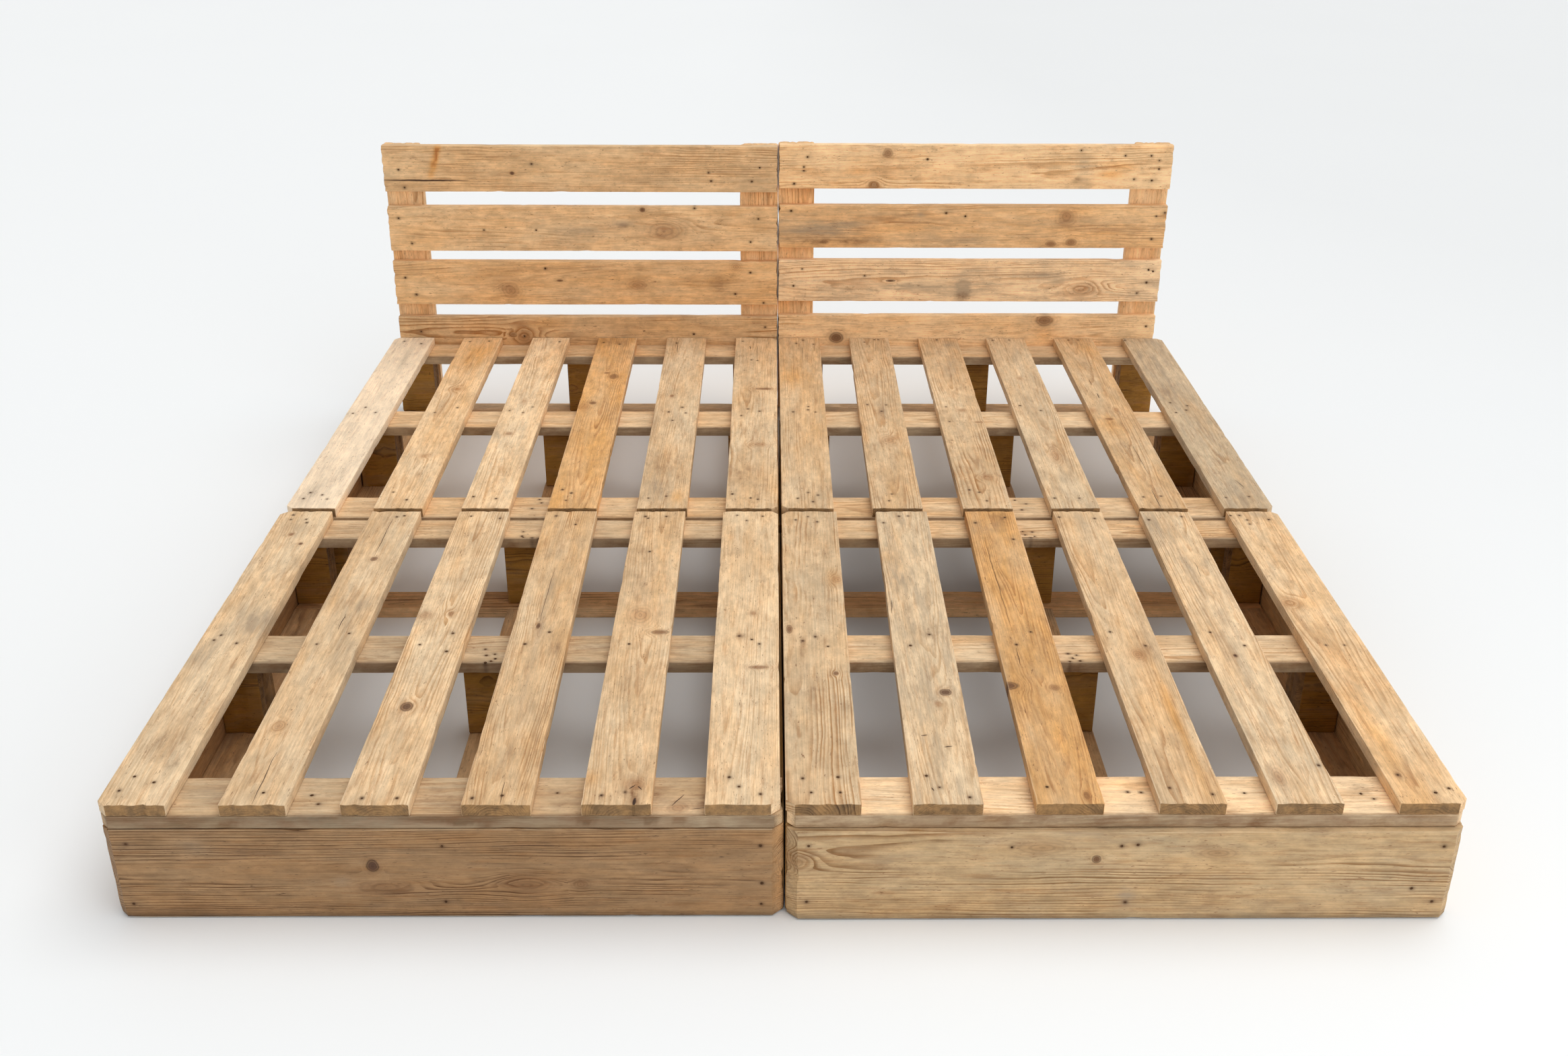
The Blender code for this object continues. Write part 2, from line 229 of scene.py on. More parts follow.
    # Weathering along the grain, grime across it, and the blue stain of old sapwood.
    mould = cloud((6, 42, 42), 4.0)
    grey = calc("*", tone[1], ramp(mould, 0.45, 0.64))
    grey = calc("+", grey, calc("*", stain[0], ramp(mould, 0.3, 0.6, 0.25, 1.0)), clamp=True)
    colour = blend(calc("*", grey, 0.7), colour, WEATHERED)
    colour = blend(ramp(stain[2], 0.7, 1.5, 0.0, 0.8), colour, "#B0662A")
    smear, fleck = cloud((24, 60, 60), 5.0), cloud((95, 520, 520), 2.0)
    flecks = calc("*", ramp(fleck, 0.63, 0.72), ramp(smear, 0.42, 0.62, 0.12, 0.8))
    dirt = calc("*", stain[1], ramp(smear, 0.35, 0.62, 0.2, 1.0))
    dirt = calc("MAXIMUM", calc("+", ramp(smear, 0.54, 0.76, 0.0, 0.3), dirt), flecks)
    colour = blend(dirt, colour, grime)

    # The knot itself: an amber halo, a brown core with its own rings, and a dark rim.
    halo = bell(away, 0.42)
    colour = blend(calc("*", halo, 0.45), colour, amber_summer)
    turns = calc("*", ramp(calc("SINE", calc("*", away, 12.0)), 0.0, 1.0), calc("*", halo, -0.2))
    turns = calc("+", turns, 1.0)
    colour = blend(1.0, colour, turns, "MULTIPLY")
    solid = ramp(knot[2], 0.22, 0.7)
    core = calc("*", ramp(away, 0.55, 1.12, 1.0, 0.0), solid)
    heart = blend(1.0, blend(knot[2], "#A06A3C", "#452B20"), turns, "MULTIPLY")
    colour = blend(calc("*", core, 0.85), colour, heart)
    rim = calc("*", bell(calc("-", away, 1.0), 60.0), solid, calc("MULTIPLY_ADD", knot[2], 0.45, 0.3))
    colour = blend(rim, colour, "#3D2618")

    # A crack: a thin dark line that wanders with the fibres and closes at both ends.
    wander = calc("MULTIPLY_ADD", calc("-", cloud((26, 60, 60)), 0.5), 5.0, crack[1])
    opening = calc("*", crack[2], calc("-", 1.0, calc("*", crack[0], crack[0])))
    distance = calc("ABSOLUTE", wander)
    gap = ramp(calc("-", distance, opening), -0.3, 0.5, 1.0, 0.0)
    gap = calc("*", gap, calc("GREATER_THAN", opening, 0.02))
    border = calc("*", calc("EXPONENT", calc("*", distance, -0.45)), calc("*", opening, 0.6))
    colour = blend(calc("*", border, 0.8, clamp=True), colour, "#6E3D22")
    colour = blend(calc("*", gap, 0.9), colour, "#2E1C10")

    # A nail: a rusty ring round the head that has bled along the fibres, in a small dent.
    def round_nail(along, across):
        """exp(-(x / along)^2 - (y / across)^2) in nail radii."""
        x, y = calc("/", nail[0], along), calc("/", nail[1], across)
        return calc("EXPONENT", calc("MULTIPLY_ADD", x, calc("*", x, -1.0), calc("*", y, y, -1.0)))

    dent = round_nail(1.35, 1.2)
    colour = blend(calc("*", round_nail(4.5, 1.5), calc("*", nail[2], 0.3)), colour, "#7A6046")
    colour = blend(calc("*", dent, calc("MULTIPLY_ADD", nail[2], 0.45, 0.5)), colour, "#4A2C19")

    # Long edges are rubbed pale, and sawn ends are darker and greyer.
    rubbed = ramp(calc("MULTIPLY_ADD", mould, 3.0, edge), 1.4, 3.4, 0.34, 0.0)
    colour = blend(rubbed, colour, "#EFD9B6")
    ends = blend(1.0, blend(figure, END_WOOD, END_RINGS), ramp(smear, 0.3, 0.66, 1.25, 0.55), "MULTIPLY")
    colour = blend(calc("*", sawn, 0.95), colour, ends)

    # Relief: raised summer wood, torn fibres, the saw's lines across the board, the open crack.
    saw = calc("SINE", calc("MULTIPLY_ADD", quick, 16.0, calc("*", parts(grain)[0], 1100.0)))
    saw = calc("*", saw, ramp(patch, 0.42, 0.6), 0.05)
    height = calc("+", calc("*", fibre, 0.5), calc("*", figure, 0.22), saw)
    height = calc("-", calc("-", height, calc("*", gap, 1.4)), calc("*", dent, 1.6))
    relief = add(tree, "ShaderNodeBump", {"Height": height, "Strength": 0.75, "Distance": 0.0007})
    tree.links.new(relief, shader.inputs["Normal"])
    tree.links.new(colour, shader.inputs["Base Color"])
    tree.links.new(ramp(smear, 0.3, 0.7, roughness + 0.1, roughness - 0.06), shader.inputs["Roughness"])
    shader.inputs["Specular IOR Level"].default_value = 0.32
    return material


DECK_PINE = sawn_pine("sawn_pine_deck", "#ECCFA7", "#BA8B57", "#E4AC69", "#A96B34")
SLAT_PINE = sawn_pine("sawn_pine_slats", "#E5C193", "#B17F4A", "#E0A562", "#9F6230")
LEFT_FRONT_PINE = sawn_pine("weathered_pine_left_front", "#CBA67B", "#7A5431", "#C48F58", "#744825", "#4E3824")
RIGHT_FRONT_PINE = sawn_pine("sawn_pine_right_front", "#E2C498", "#A37A4C", "#DCAA6C", "#946536")
BLOCK_PINE = sawn_pine("rough_pine_blocks", "#B08239", "#6A491A", "#A06F27", "#5A3B12", "#2E1B08", 0.74)
print("materials:", [m.name for m in (DECK_PINE, SLAT_PINE, LEFT_FRONT_PINE, RIGHT_FRONT_PINE, BLOCK_PINE)])

# %% [markdown]
# ## What each board shows
#
# No two boards of a pallet are alike, so each has its own entry. `light` multiplies the board's
# colour; it is partly the board's own paleness and partly painted light and shade, high on the
# standing slats and posts and low on the front boards. `log` says where the pith lay,
# across and below the board's middle, how far it leans to either side and up in one metre, and
# the ring spacing, all in millimetres. `tone` is how amber, how grey and how strongly figured
# the board is. Knots, cracks, stains and nails are given in millimetres in the bed's own frame:
# (x, y) for boards that lie flat and (x, z) for boards that stand. A knot is its place, two
# radii and darkness; a crack its two ends and width; a stain its place, two radii, kind (0 grey,
# 1 grime, 2 amber, 3 painted shade, lighter where its strength is negative) and strength. Nails
# are places, one after another.

# %% Table of the deck boards and slats
SHOWN = {}


def board(light, log, tone, **marks):
    """The entry of a board: its light, partly its own paleness and partly painted light and shade, and its knots,
    cracks, stains and nails.
    """
    return dict(light=light, log=log, tone=tone, **marks)


SHOWN["foot_left_deck_board"] = [
    board(1.05, (26, -58, -12, 30, 3.6), (0.12, 0.3, 0.55), knots=((-957, -151, 5, 4, 0.5), (-928, -192, 5, 4, 0.7)),
        stains=((-925, -500, 30, 50, 0, 0.9), (-985, -610, 20, 60, 0, 0.6), (-955, -860, 30, 60, 1, 0.3)),
        nails=(-977, -63, -976, -84, -946, -83, -941, -98, -973, -546, -980, -563, -938, -574, -972, -970, -938, -985,
            -982, -1006)),
    board(1.02, (-4, -70, 6, 18, 3.2), (0.22, 0.25, 0.6), knots=((-773, -256, 8, 6, 0.6), (-795, -833, 11, 8, 0.25)),
        cracks=((-774, -80, -775, -246, 0.9), (-775, -470, -775, -528, 1.2), (-778, -905, -777, -1042, 1.0)),
        stains=((-745, -430, 30, 30, 0, 0.7), (-750, -560, 20, 60, 0, 0.4)),
        nails=(-768, -71, -754, -66, -753, -540, -800, -577, -768, -1012)),
    board(1.08, (6, -24, 4, 34, 4.0), (0.2, 0.1, 0.85),
        knots=((-605, -776, 13, 10, 0.85), (-635, -476, 10, 10, 0.3), (-589, -470, 9, 5, 0.45)),
        stains=((-640, -820, 14, 60, 2, 0.3),),
        nails=(-620, -68, -561, -78, -573, -540, -623, -579, -620, -1026, -569, -1026, -573, -602)),
    board(0.98, (-2, -18, 3, 44, 3.4), (0.42, 0.12, 0.9), knots=((-428, -514, 8, 3, 0.8),),
        cracks=((-425, -290, -428, -505, 0.5), (-417, -985, -416, -1042, 0.7)),
        stains=((-424, -420, 7, 150, 0, 1.0), (-420, -760, 8, 130, 0, 0.7), (-385, -590, 8, 25, 1, 0.6)),
        nails=(-450, -67, -407, -106, -406, -536, -443, -577, -459, -1026, -416, -1020)),
    board(1.03, (14, -22, -10, 30, 4.2), (0.3, 0.18, 0.6),
        knots=((-213, -536, 7, 14, 0.55), (-252, -475, 22, 15, 0.12), (-221, -993, 10, 9, 0.3)),
        cracks=((-222, -1046, -220, -1026, 4.6), (-231, -1004, -222, -994, 1.6), (-211, -1006, -219, -995, 1.6)),
        stains=((-250, -330, 30, 80, 1, 0.25), (-222, -1010, 10, 40, 1, 0.9), (-290, -975, 12, 20, 2, 0.6)),
        nails=(-271, -69, -265, -77, -229, -69, -252, -225, -264, -577, -270, -1020, -236, -1012)),
    board(1.1, (-30, -34, 8, 22, 3.6), (0.14, 0.1, 0.5), knots=((-40, -655, 5, 15, 0.5), (-52, -468, 6, 4, 0.4)),
        stains=((-75, -550, 12, 12, 1, 0.8), (-90, -230, 14, 12, 1, 0.3)),
        nails=(-87, -64, -68, -88, -36, -68, -75, -550, -53, -562, -40, -577, -83, -974, -68, -998, -36, -1017)),
]
SHOWN["foot_right_deck_board"] = [
    board(0.94, (-36, -30, 6, 10, 5.2), (0.2, 0.2, 1.25),
        knots=((104, -340, 13, 9, 0.2), (88, -675, 6, 4, 0.6), (12, -527, 14, 5, 0.6)),
        stains=((40, -140, 25, 60, 0, 0.4), (95, -330, 14, 40, 2, 0.5)),
        nails=(30, -85, 55, -70, 73, -94, 35, -567, 57, -553, 78, -586, 27, -977, 80, -974, 39, -1013, 82, -1013)),
    board(1.02, (10, -66, -8, 20, 2.8), (0.06, 0.62, 0.7), knots=((265, -735, 9, 8, 0.85), (250, -770, 5, 4, 0.3)),
        cracks=((247, -894, 261, -892, 2.0), (214, -862, 225, -860, 1.8), (218, -1001, 221, -1010, 1.6),
            (196, -470, 199, -420, 1.0)),
        stains=((225, -340, 20, 45, 0, 0.9), (255, -545, 30, 25, 1, 0.35), (205, -250, 16, 30, 2, 0.4)),
        nails=(238, -68, 256, -67, 205, -98, 256, -545, 220, -583, 213, -971, 230, -1001, 272, -1026)),
    board(1.0, (4, -26, 6, 40, 3.8), (0.85, 0.08, 0.85),
        knots=((374, -714, 12, 13, 0.75), (446, -720, 8, 7, 0.45), (445, -1022, 9, 4, 0.5)),
        cracks=((397, -170, 402, -510, 0.7), (402, -590, 400, -650, 0.5)),
        stains=((445, -80, 12, 28, 1, 0.9), (400, -120, 40, 30, 0, 0.5)),
        nails=(450, -74, 454, -172, 388, -98, 434, -536, 403, -580, 390, -1000)),
    board(1.03, (-20, -48, 3, 16, 3.0), (0.34, 0.14, 0.8), knots=((605, -614, 14, 10, 0.2),),
        stains=((625, -850, 8, 170, 2, 0.6), (625, -585, 20, 40, 1, 0.5), (600, -130, 8, 60, 0, 0.5)),
        nails=(560, -72, 630, -78, 573, -536, 625, -584, 572, -1003, 632, -1019)),
    board(1.12, (12, -40, 10, 24, 3.4), (0.18, 0.4, 0.85), knots=((742, -975, 20, 8, 0.15), (771, -618, 5, 3, 0.7)),
        cracks=((784, -30, 784, -58, 1.0), (785, -270, 783, -330, 0.6)),
        stains=((770, -210, 10, 120, 0, 0.8), (740, -110, 16, 50, 0, 0.7), (762, -880, 30, 12, 1, 0.4)),
        nails=(807, -69, 738, -84, 748, -538, 796, -584, 771, -618, 812, -945)),
    board(1.14, (-14, -52, -4, 22, 4.2), (0.4, 0.14, 0.7), knots=((920, -430, 14, 14, 0.12), (924, -970, 6, 4, 0.3)),
        stains=((930, -900, 22, 160, 2, 0.5), (955, -60, 40, 14, 0, 0.6), (950, -430, 40, 30, 2, 0.2)),
        nails=(907, -64, 925, -64, 935, -85, 935, -104, 979, -83, 937, -583, 969, -583, 924, -970, 964, -1016,
            988, -1005)),
]
SHOWN["head_left_deck_board"] = [
    board(1.2, (30, -90, 4, 14, 3.4), (-0.3, 0.12, 0.35),
        stains=((-965, 60, 14, 60, 0, 0.5), (-940, 850, 6, 90, 0, 0.5)),
        nails=(-968, 982, -921, 964, -964, 520, -985, 483, -934, 488, -970, 44, -943, 33, -977, 15, -928, 13)),
    board(1.14, (-16, -44, -6, 20, 3.4), (0.38, 0.12, 0.75),
        knots=((-772, 640, 14, 11, 0.05), (-770, 235, 8, 10, 0.25)),
        stains=((-770, 880, 45, 120, 2, 0.6), (-790, 540, 8, 60, 0, 0.6)),
        nails=(-798, 980, -749, 985, -750, 518, -797, 488, -800, 47, -765, 10)),
    board(1.2, (10, -50, 5, 18, 3.6), (0.16, 0.3, 0.75), knots=((-607, 361, 9, 7, 0.45), (-600, 560, 12, 5, 0.2)),
        stains=((-630, 340, 20, 30, 0, 0.6), (-640, 560, 10, 60, 0, 0.4)),
        nails=(-566, 980, -626, 500, -575, 523, -593, 488, -631, 25, -583, 15)),
    board(1.06, (2, -20, -4, 38, 4.2), (0.85, 0.06, 0.85),
        knots=((-403, 725, 17, 10, 0.55), (-422, 750, 6, 7, 0.5), (-437, 549, 9, 8, 0.6), (-454, 522, 16, 10, 0.12)),
        stains=((-380, 480, 30, 50, 1, 0.25), (-430, 985, 40, 25, 1, 0.5)),
        nails=(-451, 975, -409, 962, -452, 60, -432, 43, -439, 7)),
    board(1.0, (10, -20, 8, -34, 3.4), (0.22, 0.26, 0.95), knots=((-254, 596, 7, 4, 0.5),),
        cracks=((-262, 985, -255, 895, 0.8),),
        stains=((-250, 190, 40, 40, 1, 0.4), (-255, 60, 30, 60, 0, 0.7), (-215, 25, 14, 30, 2, 0.5)),
        nails=(-256, 493, -226, 522, -216, 487, -244, 441, -271, 18, -235, 27, -262, 972)),
    board(1.02, (-24, -40, 6, 16, 4.0), (0.26, 0.2, 0.85), knots=((-35, 643, 6, 16, 0.55), (-45, 300, 9, 14, 0.12)),
        cracks=((-73, 950, -70, 925, 1.4), (-53, 950, -52, 838, 0.6)),
        stains=((-75, 140, 40, 60, 1, 0.4), (-95, 80, 14, 40, 0, 0.5)),
        nails=(-91, 986, -67, 845, -52, 840, -72, 512, -45, 498, -87, 471, -99, 39, -61, 19, -46, 13)),
]
SHOWN["head_right_deck_board"] = [
    board(0.98, (24, -64, 3, 10, 3.0), (0.34, 0.14, 0.75), cracks=((63, 945, 60, 842, 0.6),),
        stains=((40, 720, 50, 60, 2, 0.35), (30, 500, 10, 50, 0, 0.4)),
        nails=(66, 995, 48, 969, 92, 964, 69, 527, 33, 494, 68, 507, 85, 493, 58, 45, 78, 33, 36, 17, 67, 1)),
    board(0.96, (-6, -34, -3, 24, 3.6), (0.26, 0.22, 0.9), knots=((245, 325, 20, 15, 0.08),),
        stains=((200, 750, 14, 30, 1, 0.3), (245, 520, 14, 80, 0, 0.5), (230, 90, 30, 60, 1, 0.3)),
        nails=(225, 980, 252, 999, 262, 999, 208, 540, 252, 538, 239, 498, 231, 38, 223, 5)),
    board(0.97, (-4, -16, -6, 26, 5.2), (0.3, 0.24, 1.2),
        knots=((439, 121, 11, 11, 0.15), (428, 505, 8, 8, 0.35), (457, 432, 4, 7, 0.5)),
        stains=((440, 960, 16, 40, 0, 1.0), (425, 800, 24, 70, 0, 0.6)),
        nails=(415, 998, 392, 527, 391, 435, 394, 59, 413, 47, 424, 5)),
    board(0.98, (12, -42, 8, 20, 3.4), (0.1, 0.34, 0.85), knots=((592, 715, 9, 5, 0.3), (602, 240, 28, 8, 0.12)),
        stains=((600, 590, 30, 80, 0, 0.4), (560, 300, 14, 40, 1, 0.4)),
        nails=(561, 996, 604, 998, 567, 535, 611, 504, 565, 18, 616, 18)),
    board(0.94, (-10, -46, -6, 24, 3.4), (0.45, 0.2, 0.7),
        knots=((762, 452, 5, 7, 0.5), (733, 506, 11, 7, 0.25), (787, 509, 9, 5, 0.25)),
        cracks=((761, 712, 761, 668, 0.9), (763, 618, 763, 582, 1.6), (783, 300, 785, 140, 0.8),
            (774, 62, 775, -30, 1.1)),
        stains=((750, 420, 50, 60, 2, 0.35),), nails=(759, 998, 784, 998, 750, 24, 787, 28)),
    board(0.82, (16, -70, 6, 12, 3.0), (0.06, 0.6, 0.65), cracks=((962, 110, 972, 70, 0.8),),
        stains=((940, 800, 30, 160, 0, 0.6), (955, 985, 30, 20, 0, 0.8), (930, 620, 14, 60, 1, 0.4)),
        nails=(907, 998, 925, 554, 961, 535, 952, 507, 925, 492, 920, 22, 969, 26)),
]
# The slats stand facing the foot, away from the light above: their high light values are painted light as well as
# their own paleness.
SHOWN["headboard_left_slat"] = [
    board(1.13, (60, -20, 3, 4, 4.4), (0.12, 0.16, 1.1), knots=((-664, 635, 5, 4, 0.9),),
        cracks=((-1000, 617, -770, 616, 3.4),),
        stains=((-845, 694, 6, 9, 2, 1.7), (-850, 676, 6, 13, 2, 1.6), (-858, 655, 8, 14, 2, 1.3),
            (-866, 632, 8, 10, 2, 0.9), (-40, 664, 14, 12, 0, 0.9), (-860, 690, 50, 10, 1, 0.2)),
        nails=(-946, 643, -935, 598, -614, 658, -46, 650, -66, 615, -174, 637, -168, 616)),
    board(1.2, (18, -46, -6, 26, 4.6), (0.2, 0.14, 0.7), knots=((-290, 488, 34, 16, 0.04), (-342, 543, 6, 5, 0.7)),
        stains=((-395, 503, 30, 10, 0, 1.2), (-500, 488, 60, 12, 0, 0.7), (-390, 500, 14, 5, 1, 0.7)),
        nails=(-745, 490, -613, 490, -211, 547, -958, 520, -930, 455, -50, 520, -70, 460)),
    board(1.17, (8, -40, 8, 22, 3.6), (0.42, 0.16, 0.75),
        knots=((-689, 330, 17, 17, 0.3), (-360, 346, 18, 10, 0.3), (-108, 394, 10, 8, 0.25), (-560, 358, 8, 3, 0.7)),
        stains=((-600, 390, 60, 8, 1, 0.3), (-150, 345, 25, 30, 1, 0.4)),
        nails=(-71, 380, -110, 323, -37, 299, -956, 365, -932, 320, -596, 390)),
    board(1.02, (10, -22, 4, 26, 5.6), (0.32, 0.14, 1.3), knots=((-663, 207, 20, 18, 0.3), (-690, 213, 9, 6, 0.5)),
        stains=((-600, 245, 60, 12, 2, 0.4), (-200, 190, 60, 12, 1, 0.3)),
        nails=(-929, 220, -219, 214, -33, 233, -960, 190, -661, 208)),
]
SHOWN["headboard_right_slat"] = [
    board(1.46, (-14, -54, 3, 14, 4.2), (0.1, 0.1, 0.9), knots=((272, 688, 11, 10, 0.5), (240, 608, 12, 9, 0.5)),
        stains=((765, 650, 20, 50, 0, 0.7), (850, 655, 50, 10, 2, 0.9), (830, 635, 30, 8, 2, 0.8),
            (775, 605, 14, 8, 1, 1.0), (748, 620, 10, 8, 1, 0.7), (200, 640, 40, 8, 2, 0.5)),
        
        nails=(73, 677, 64, 652, 64, 643, 40, 610, 372, 672, 865, 682, 951, 670, 930, 682, 892, 623, 937, 620,
            754, 695, 952, 649)),
    board(1.26, (20, -40, 6, 12, 3.4), (0.38, 0.3, 0.95),
        knots=((730, 529, 17, 16, 0.4), (696, 458, 11, 7, 0.5), (747, 462, 12, 8, 0.5)),
        stains=((100, 500, 110, 26, 0, 1.1), (290, 530, 80, 10, 1, 0.35), (130, 462, 160, 10, 1, 0.8),
            (360, 535, 12, 8, 0, 0.9), (460, 470, 50, 14, 0, 0.6)),
        nails=(979, 538, 958, 529, 33, 541, 425, 536, 474, 528, 952, 470)),
    board(1.46, (-10, -36, -3, 30, 4.6), (-0.08, 0.5, 1.1), knots=((784, 335, 28, 14, 0.08), (290, 359, 12, 3, 0.9)),
        stains=((479, 340, 18, 30, 0, 1.5), (478, 318, 14, 10, 1, 0.8), (300, 345, 120, 8, 0, 0.9),
            (320, 385, 60, 6, 0, 0.8), (700, 375, 60, 6, 0, 0.6), (45, 328, 18, 6, 1, 0.5),
            (560, 350, 60, 6, 0, 0.7)),
        nails=(223, 372, 965, 385, 953, 389, 951, 355, 929, 327, 40, 345, 62, 390)),
    board(1.36, (4, -34, 6, 24, 4.2), (0.1, 0.2, 1.0), knots=((153, 205, 15, 13, 0.66), (696, 252, 19, 13, 0.55)),
        stains=((142, 258, 30, 8, 0, 1.1), (58, 226, 30, 6, 0, 0.7), (700, 215, 30, 20, 2, 0.4)),
        nails=(962, 237, 40, 180, 944, 180)),
]
BOARDS = {f"{stem}_{k}": entry for stem, entries in SHOWN.items() for k, entry in enumerate(entries, 1)}
print(len(BOARDS), "boards have an entry of their own")

# %% [markdown]
# ## The rest of the pallets' boards
#
# The two front boards have entries too. The boards under the deck, the blocks and the runners
# show only in the gaps, so they get their pith at random. The nails that hold the deck to the
# cross-boards come through in clusters where the boards leave a gap.

# %% Table of the other boards
BOARDS.update({
    # The front boards' low light values are painted shade on faces that turn away from the light above, as well as
    # their own colour. The shade stains along their bottom edges are a painted shadow line where they meet the floor;
    # the negative one at the left board's inner end is painted light.
    "foot_left_front_fascia": board(0.69, (8, -34, 3, 6, 3.2), (0.42, 0.08, 1.6),
        knots=((-612, 97, 8, 10, 0.95), (-596, 58, 34, 9, 0.03), (-385, 60, 30, 10, 0.03), (-305, 62, 9, 7, 0.3)),
        stains=((-870, 138, 20, 16, 0, 0.4), (-660, 66, 14, 8, 0, 0.6), (-505, 0, 2000, 4, 3, 0.75),
            (-6, 80, 8, 2000, 3, -0.7)),
        nails=(-970, 137, -977, 27, -506, 132, -509, 30, -36, 132, -34, 63, -35, 24)),
    "foot_right_front_fascia": board(0.83, (44, -50, -3, 8, 4.2), (0.28, 0.28, 1.35),
        knots=((14, 108, 20, 12, 0.14), (380, 135, 30, 9, 0.02), (640, 124, 22, 7, 0.05), (462, 113, 6, 6, 0.7)),
        stains=((512, 45, 12, 22, 0, 1.2), (510, 140, 20, 8, 1, 0.5), (420, 155, 80, 8, 0, 0.6),
            (130, 105, 30, 6, 1, 0.3), (505, 0, 2000, 4, 3, 0.75)),
        nails=(35, 138, 33, 35, 497, 137, 521, 139, 512, 33, 975, 135, 940, 58, 975, 33, 335, 135)),
    # The cross-boards' light values are partly painted light and shade. The grime and shade stains along the first
    # ones' front edges are dirt and painted shade under the deck; the small negative shade stains by the left board's
    # tear make it lighter.
    "foot_left_cross_board_1": dict(light=0.78, knots=((-820, -1010, 12, 8, 0.3), (-158, -1022, 15, 13, 0.4)),
        cracks=((-168, -1018, -150, -990, 1.3), (-140, -1026, -118, -1022, 1.0)),
        stains=((-505, -1046, 900, 6, 1, 0.7), (-505, -1046, 900, 6, 3, 0.8), (-800, -1000, 40, 30, 1, 0.5),
            (-860, -985, 30, 20, 0, 0.6), (-500, -1000, 40, 30, 1, 0.45), (-320, -990, 30, 30, 1, 0.35),
            (-192, -990, 14, 12, 1, 1.0), (-118, -1004, 13, 14, 1, 0.9), (-160, -1012, 9, 16, 3, -0.35),
            (-146, -1030, 20, 7, 3, -0.3), (-176, -1028, 7, 14, 3, -0.3)),
        nails=(-705, -990, -690, -1012, -340, -985)),
    "foot_right_cross_board_1": dict(light=1.25,
        stains=((505, -1046, 900, 6, 1, 0.7), (505, -1046, 900, 6, 3, 0.7), (870, -985, 25, 20, 1, 0.4)),
        nails=(515, -985, 535, -986, 690, -988, 865, -990, 880, -1003)),
    "foot_left_cross_board_2": dict(light=0.74,
        nails=(-510, -581, -496, -577, -493, -592, -508, -604, -499, -600, -515, -560)),
    "foot_left_cross_board_3": dict(light=0.9, nails=(-513, -98, -513, -117, -492, -125, -478, -127, -510, -122)),
    "foot_right_cross_board_2": dict(nails=(494, -577, 508, -582, 500, -592, 511, -601, 493, -603)),
    "foot_right_cross_board_3": dict(cracks=((470, -122, 512, -124, 1.0),),
        nails=(484, -97, 503, -99, 487, -112, 505, -118, 496, -125)),
    # Grime and painted shade along the head cross-boards' front edges, at the seam between the two halves.
    "head_left_cross_board_1": dict(stains=((-505, -34, 900, 6, 1, 0.5), (-505, -34, 900, 6, 3, 0.5)),
        nails=(-510, 10, -494, 38, -500, 55)),
    "head_right_cross_board_1": dict(stains=((505, -34, 900, 6, 1, 0.5), (505, -34, 900, 6, 3, 0.5)),
        nails=(497, 5, 510, 34, 489, 52)),
})
PLAIN_TONES = {"cross_board": (0.28, 0.08, 0.85), "side_fascia": (0.35, 0.2, 0.9), "post": (0.34, 0.14, 0.8)}
# Light values of the boards without an entry: partly their own paleness and partly painted light.
PLAIN_TONE_AND_PAINTED_LIGHT = {"post": 1.34, "runner": 1.1, "foot_rear": 1.5, "head_rear": 1.0}
# The posts' sawn tops keep little of the dark end colour: a painted highlight of the light from above.
POST_TOPS_PAINTED_LIT = 0.12
print(len(BOARDS), "boards have an entry in all")

# %% [markdown]
# ## A board
#
# A real board is a rounded rectangle in section, and nothing on it is straight: the arrises
# are worn in places, splinters are missing, the width wanders by a millimetre, the ends are
# sawn a little out of square. So each board is one closed grid: a section of 42 points carried
# along the length, with the corner radius and both edges as functions of the length. Its
# surface stays inside the CAD's box for that board.

# %% The board's grid
AXES = {"x": 0, "y": 1, "z": 2}
END_STEPS = np.array((0.0, 0.5, 1.6, 4.0, 7.0, 10.0, 13.0, 17.0)) * MM
ARRIS_POINTS, FACE_POINTS = 4, 13
EDGE_WAVE, EDGE_CHIP, ARRIS_RADIUS, ARRIS_CHIP = 0.25 * MM, 1.5 * MM, 0.9 * MM, 2.0 * MM
END_BEVEL, END_SPLINTER, BOW, CUPPING = 1.1 * MM, 2.4 * MM, 0.25 * MM, 0.5 * MM
rng = np.random.default_rng(20261130)


def wave(at, longest, count=5):
    """A smooth random line: the mean of sines whose lengths halve from `longest`, within -1..1."""
    lengths = longest / 2.0 ** np.arange(count)
    weights = 0.62 ** np.arange(count)
    phases = rng.uniform(0, 2 * np.pi, count)
    return (np.sin(2 * np.pi * at[..., None] / lengths + phases) * weights).sum(-1) / weights.sum()


def chips(at, count, depth, width):
    """Sum of bells exp(-((s - s0) / width)^2) of random depth at random places along the edge."""
    centres = rng.uniform(at.min(), at.max(), count)
    depths = depth * rng.uniform(0.3, 1.0, count)
    widths = width * rng.uniform(0.4, 1.6, count)
    return (depths * np.exp(-(((at[:, None] - centres) / widths) ** 2))).sum(-1)


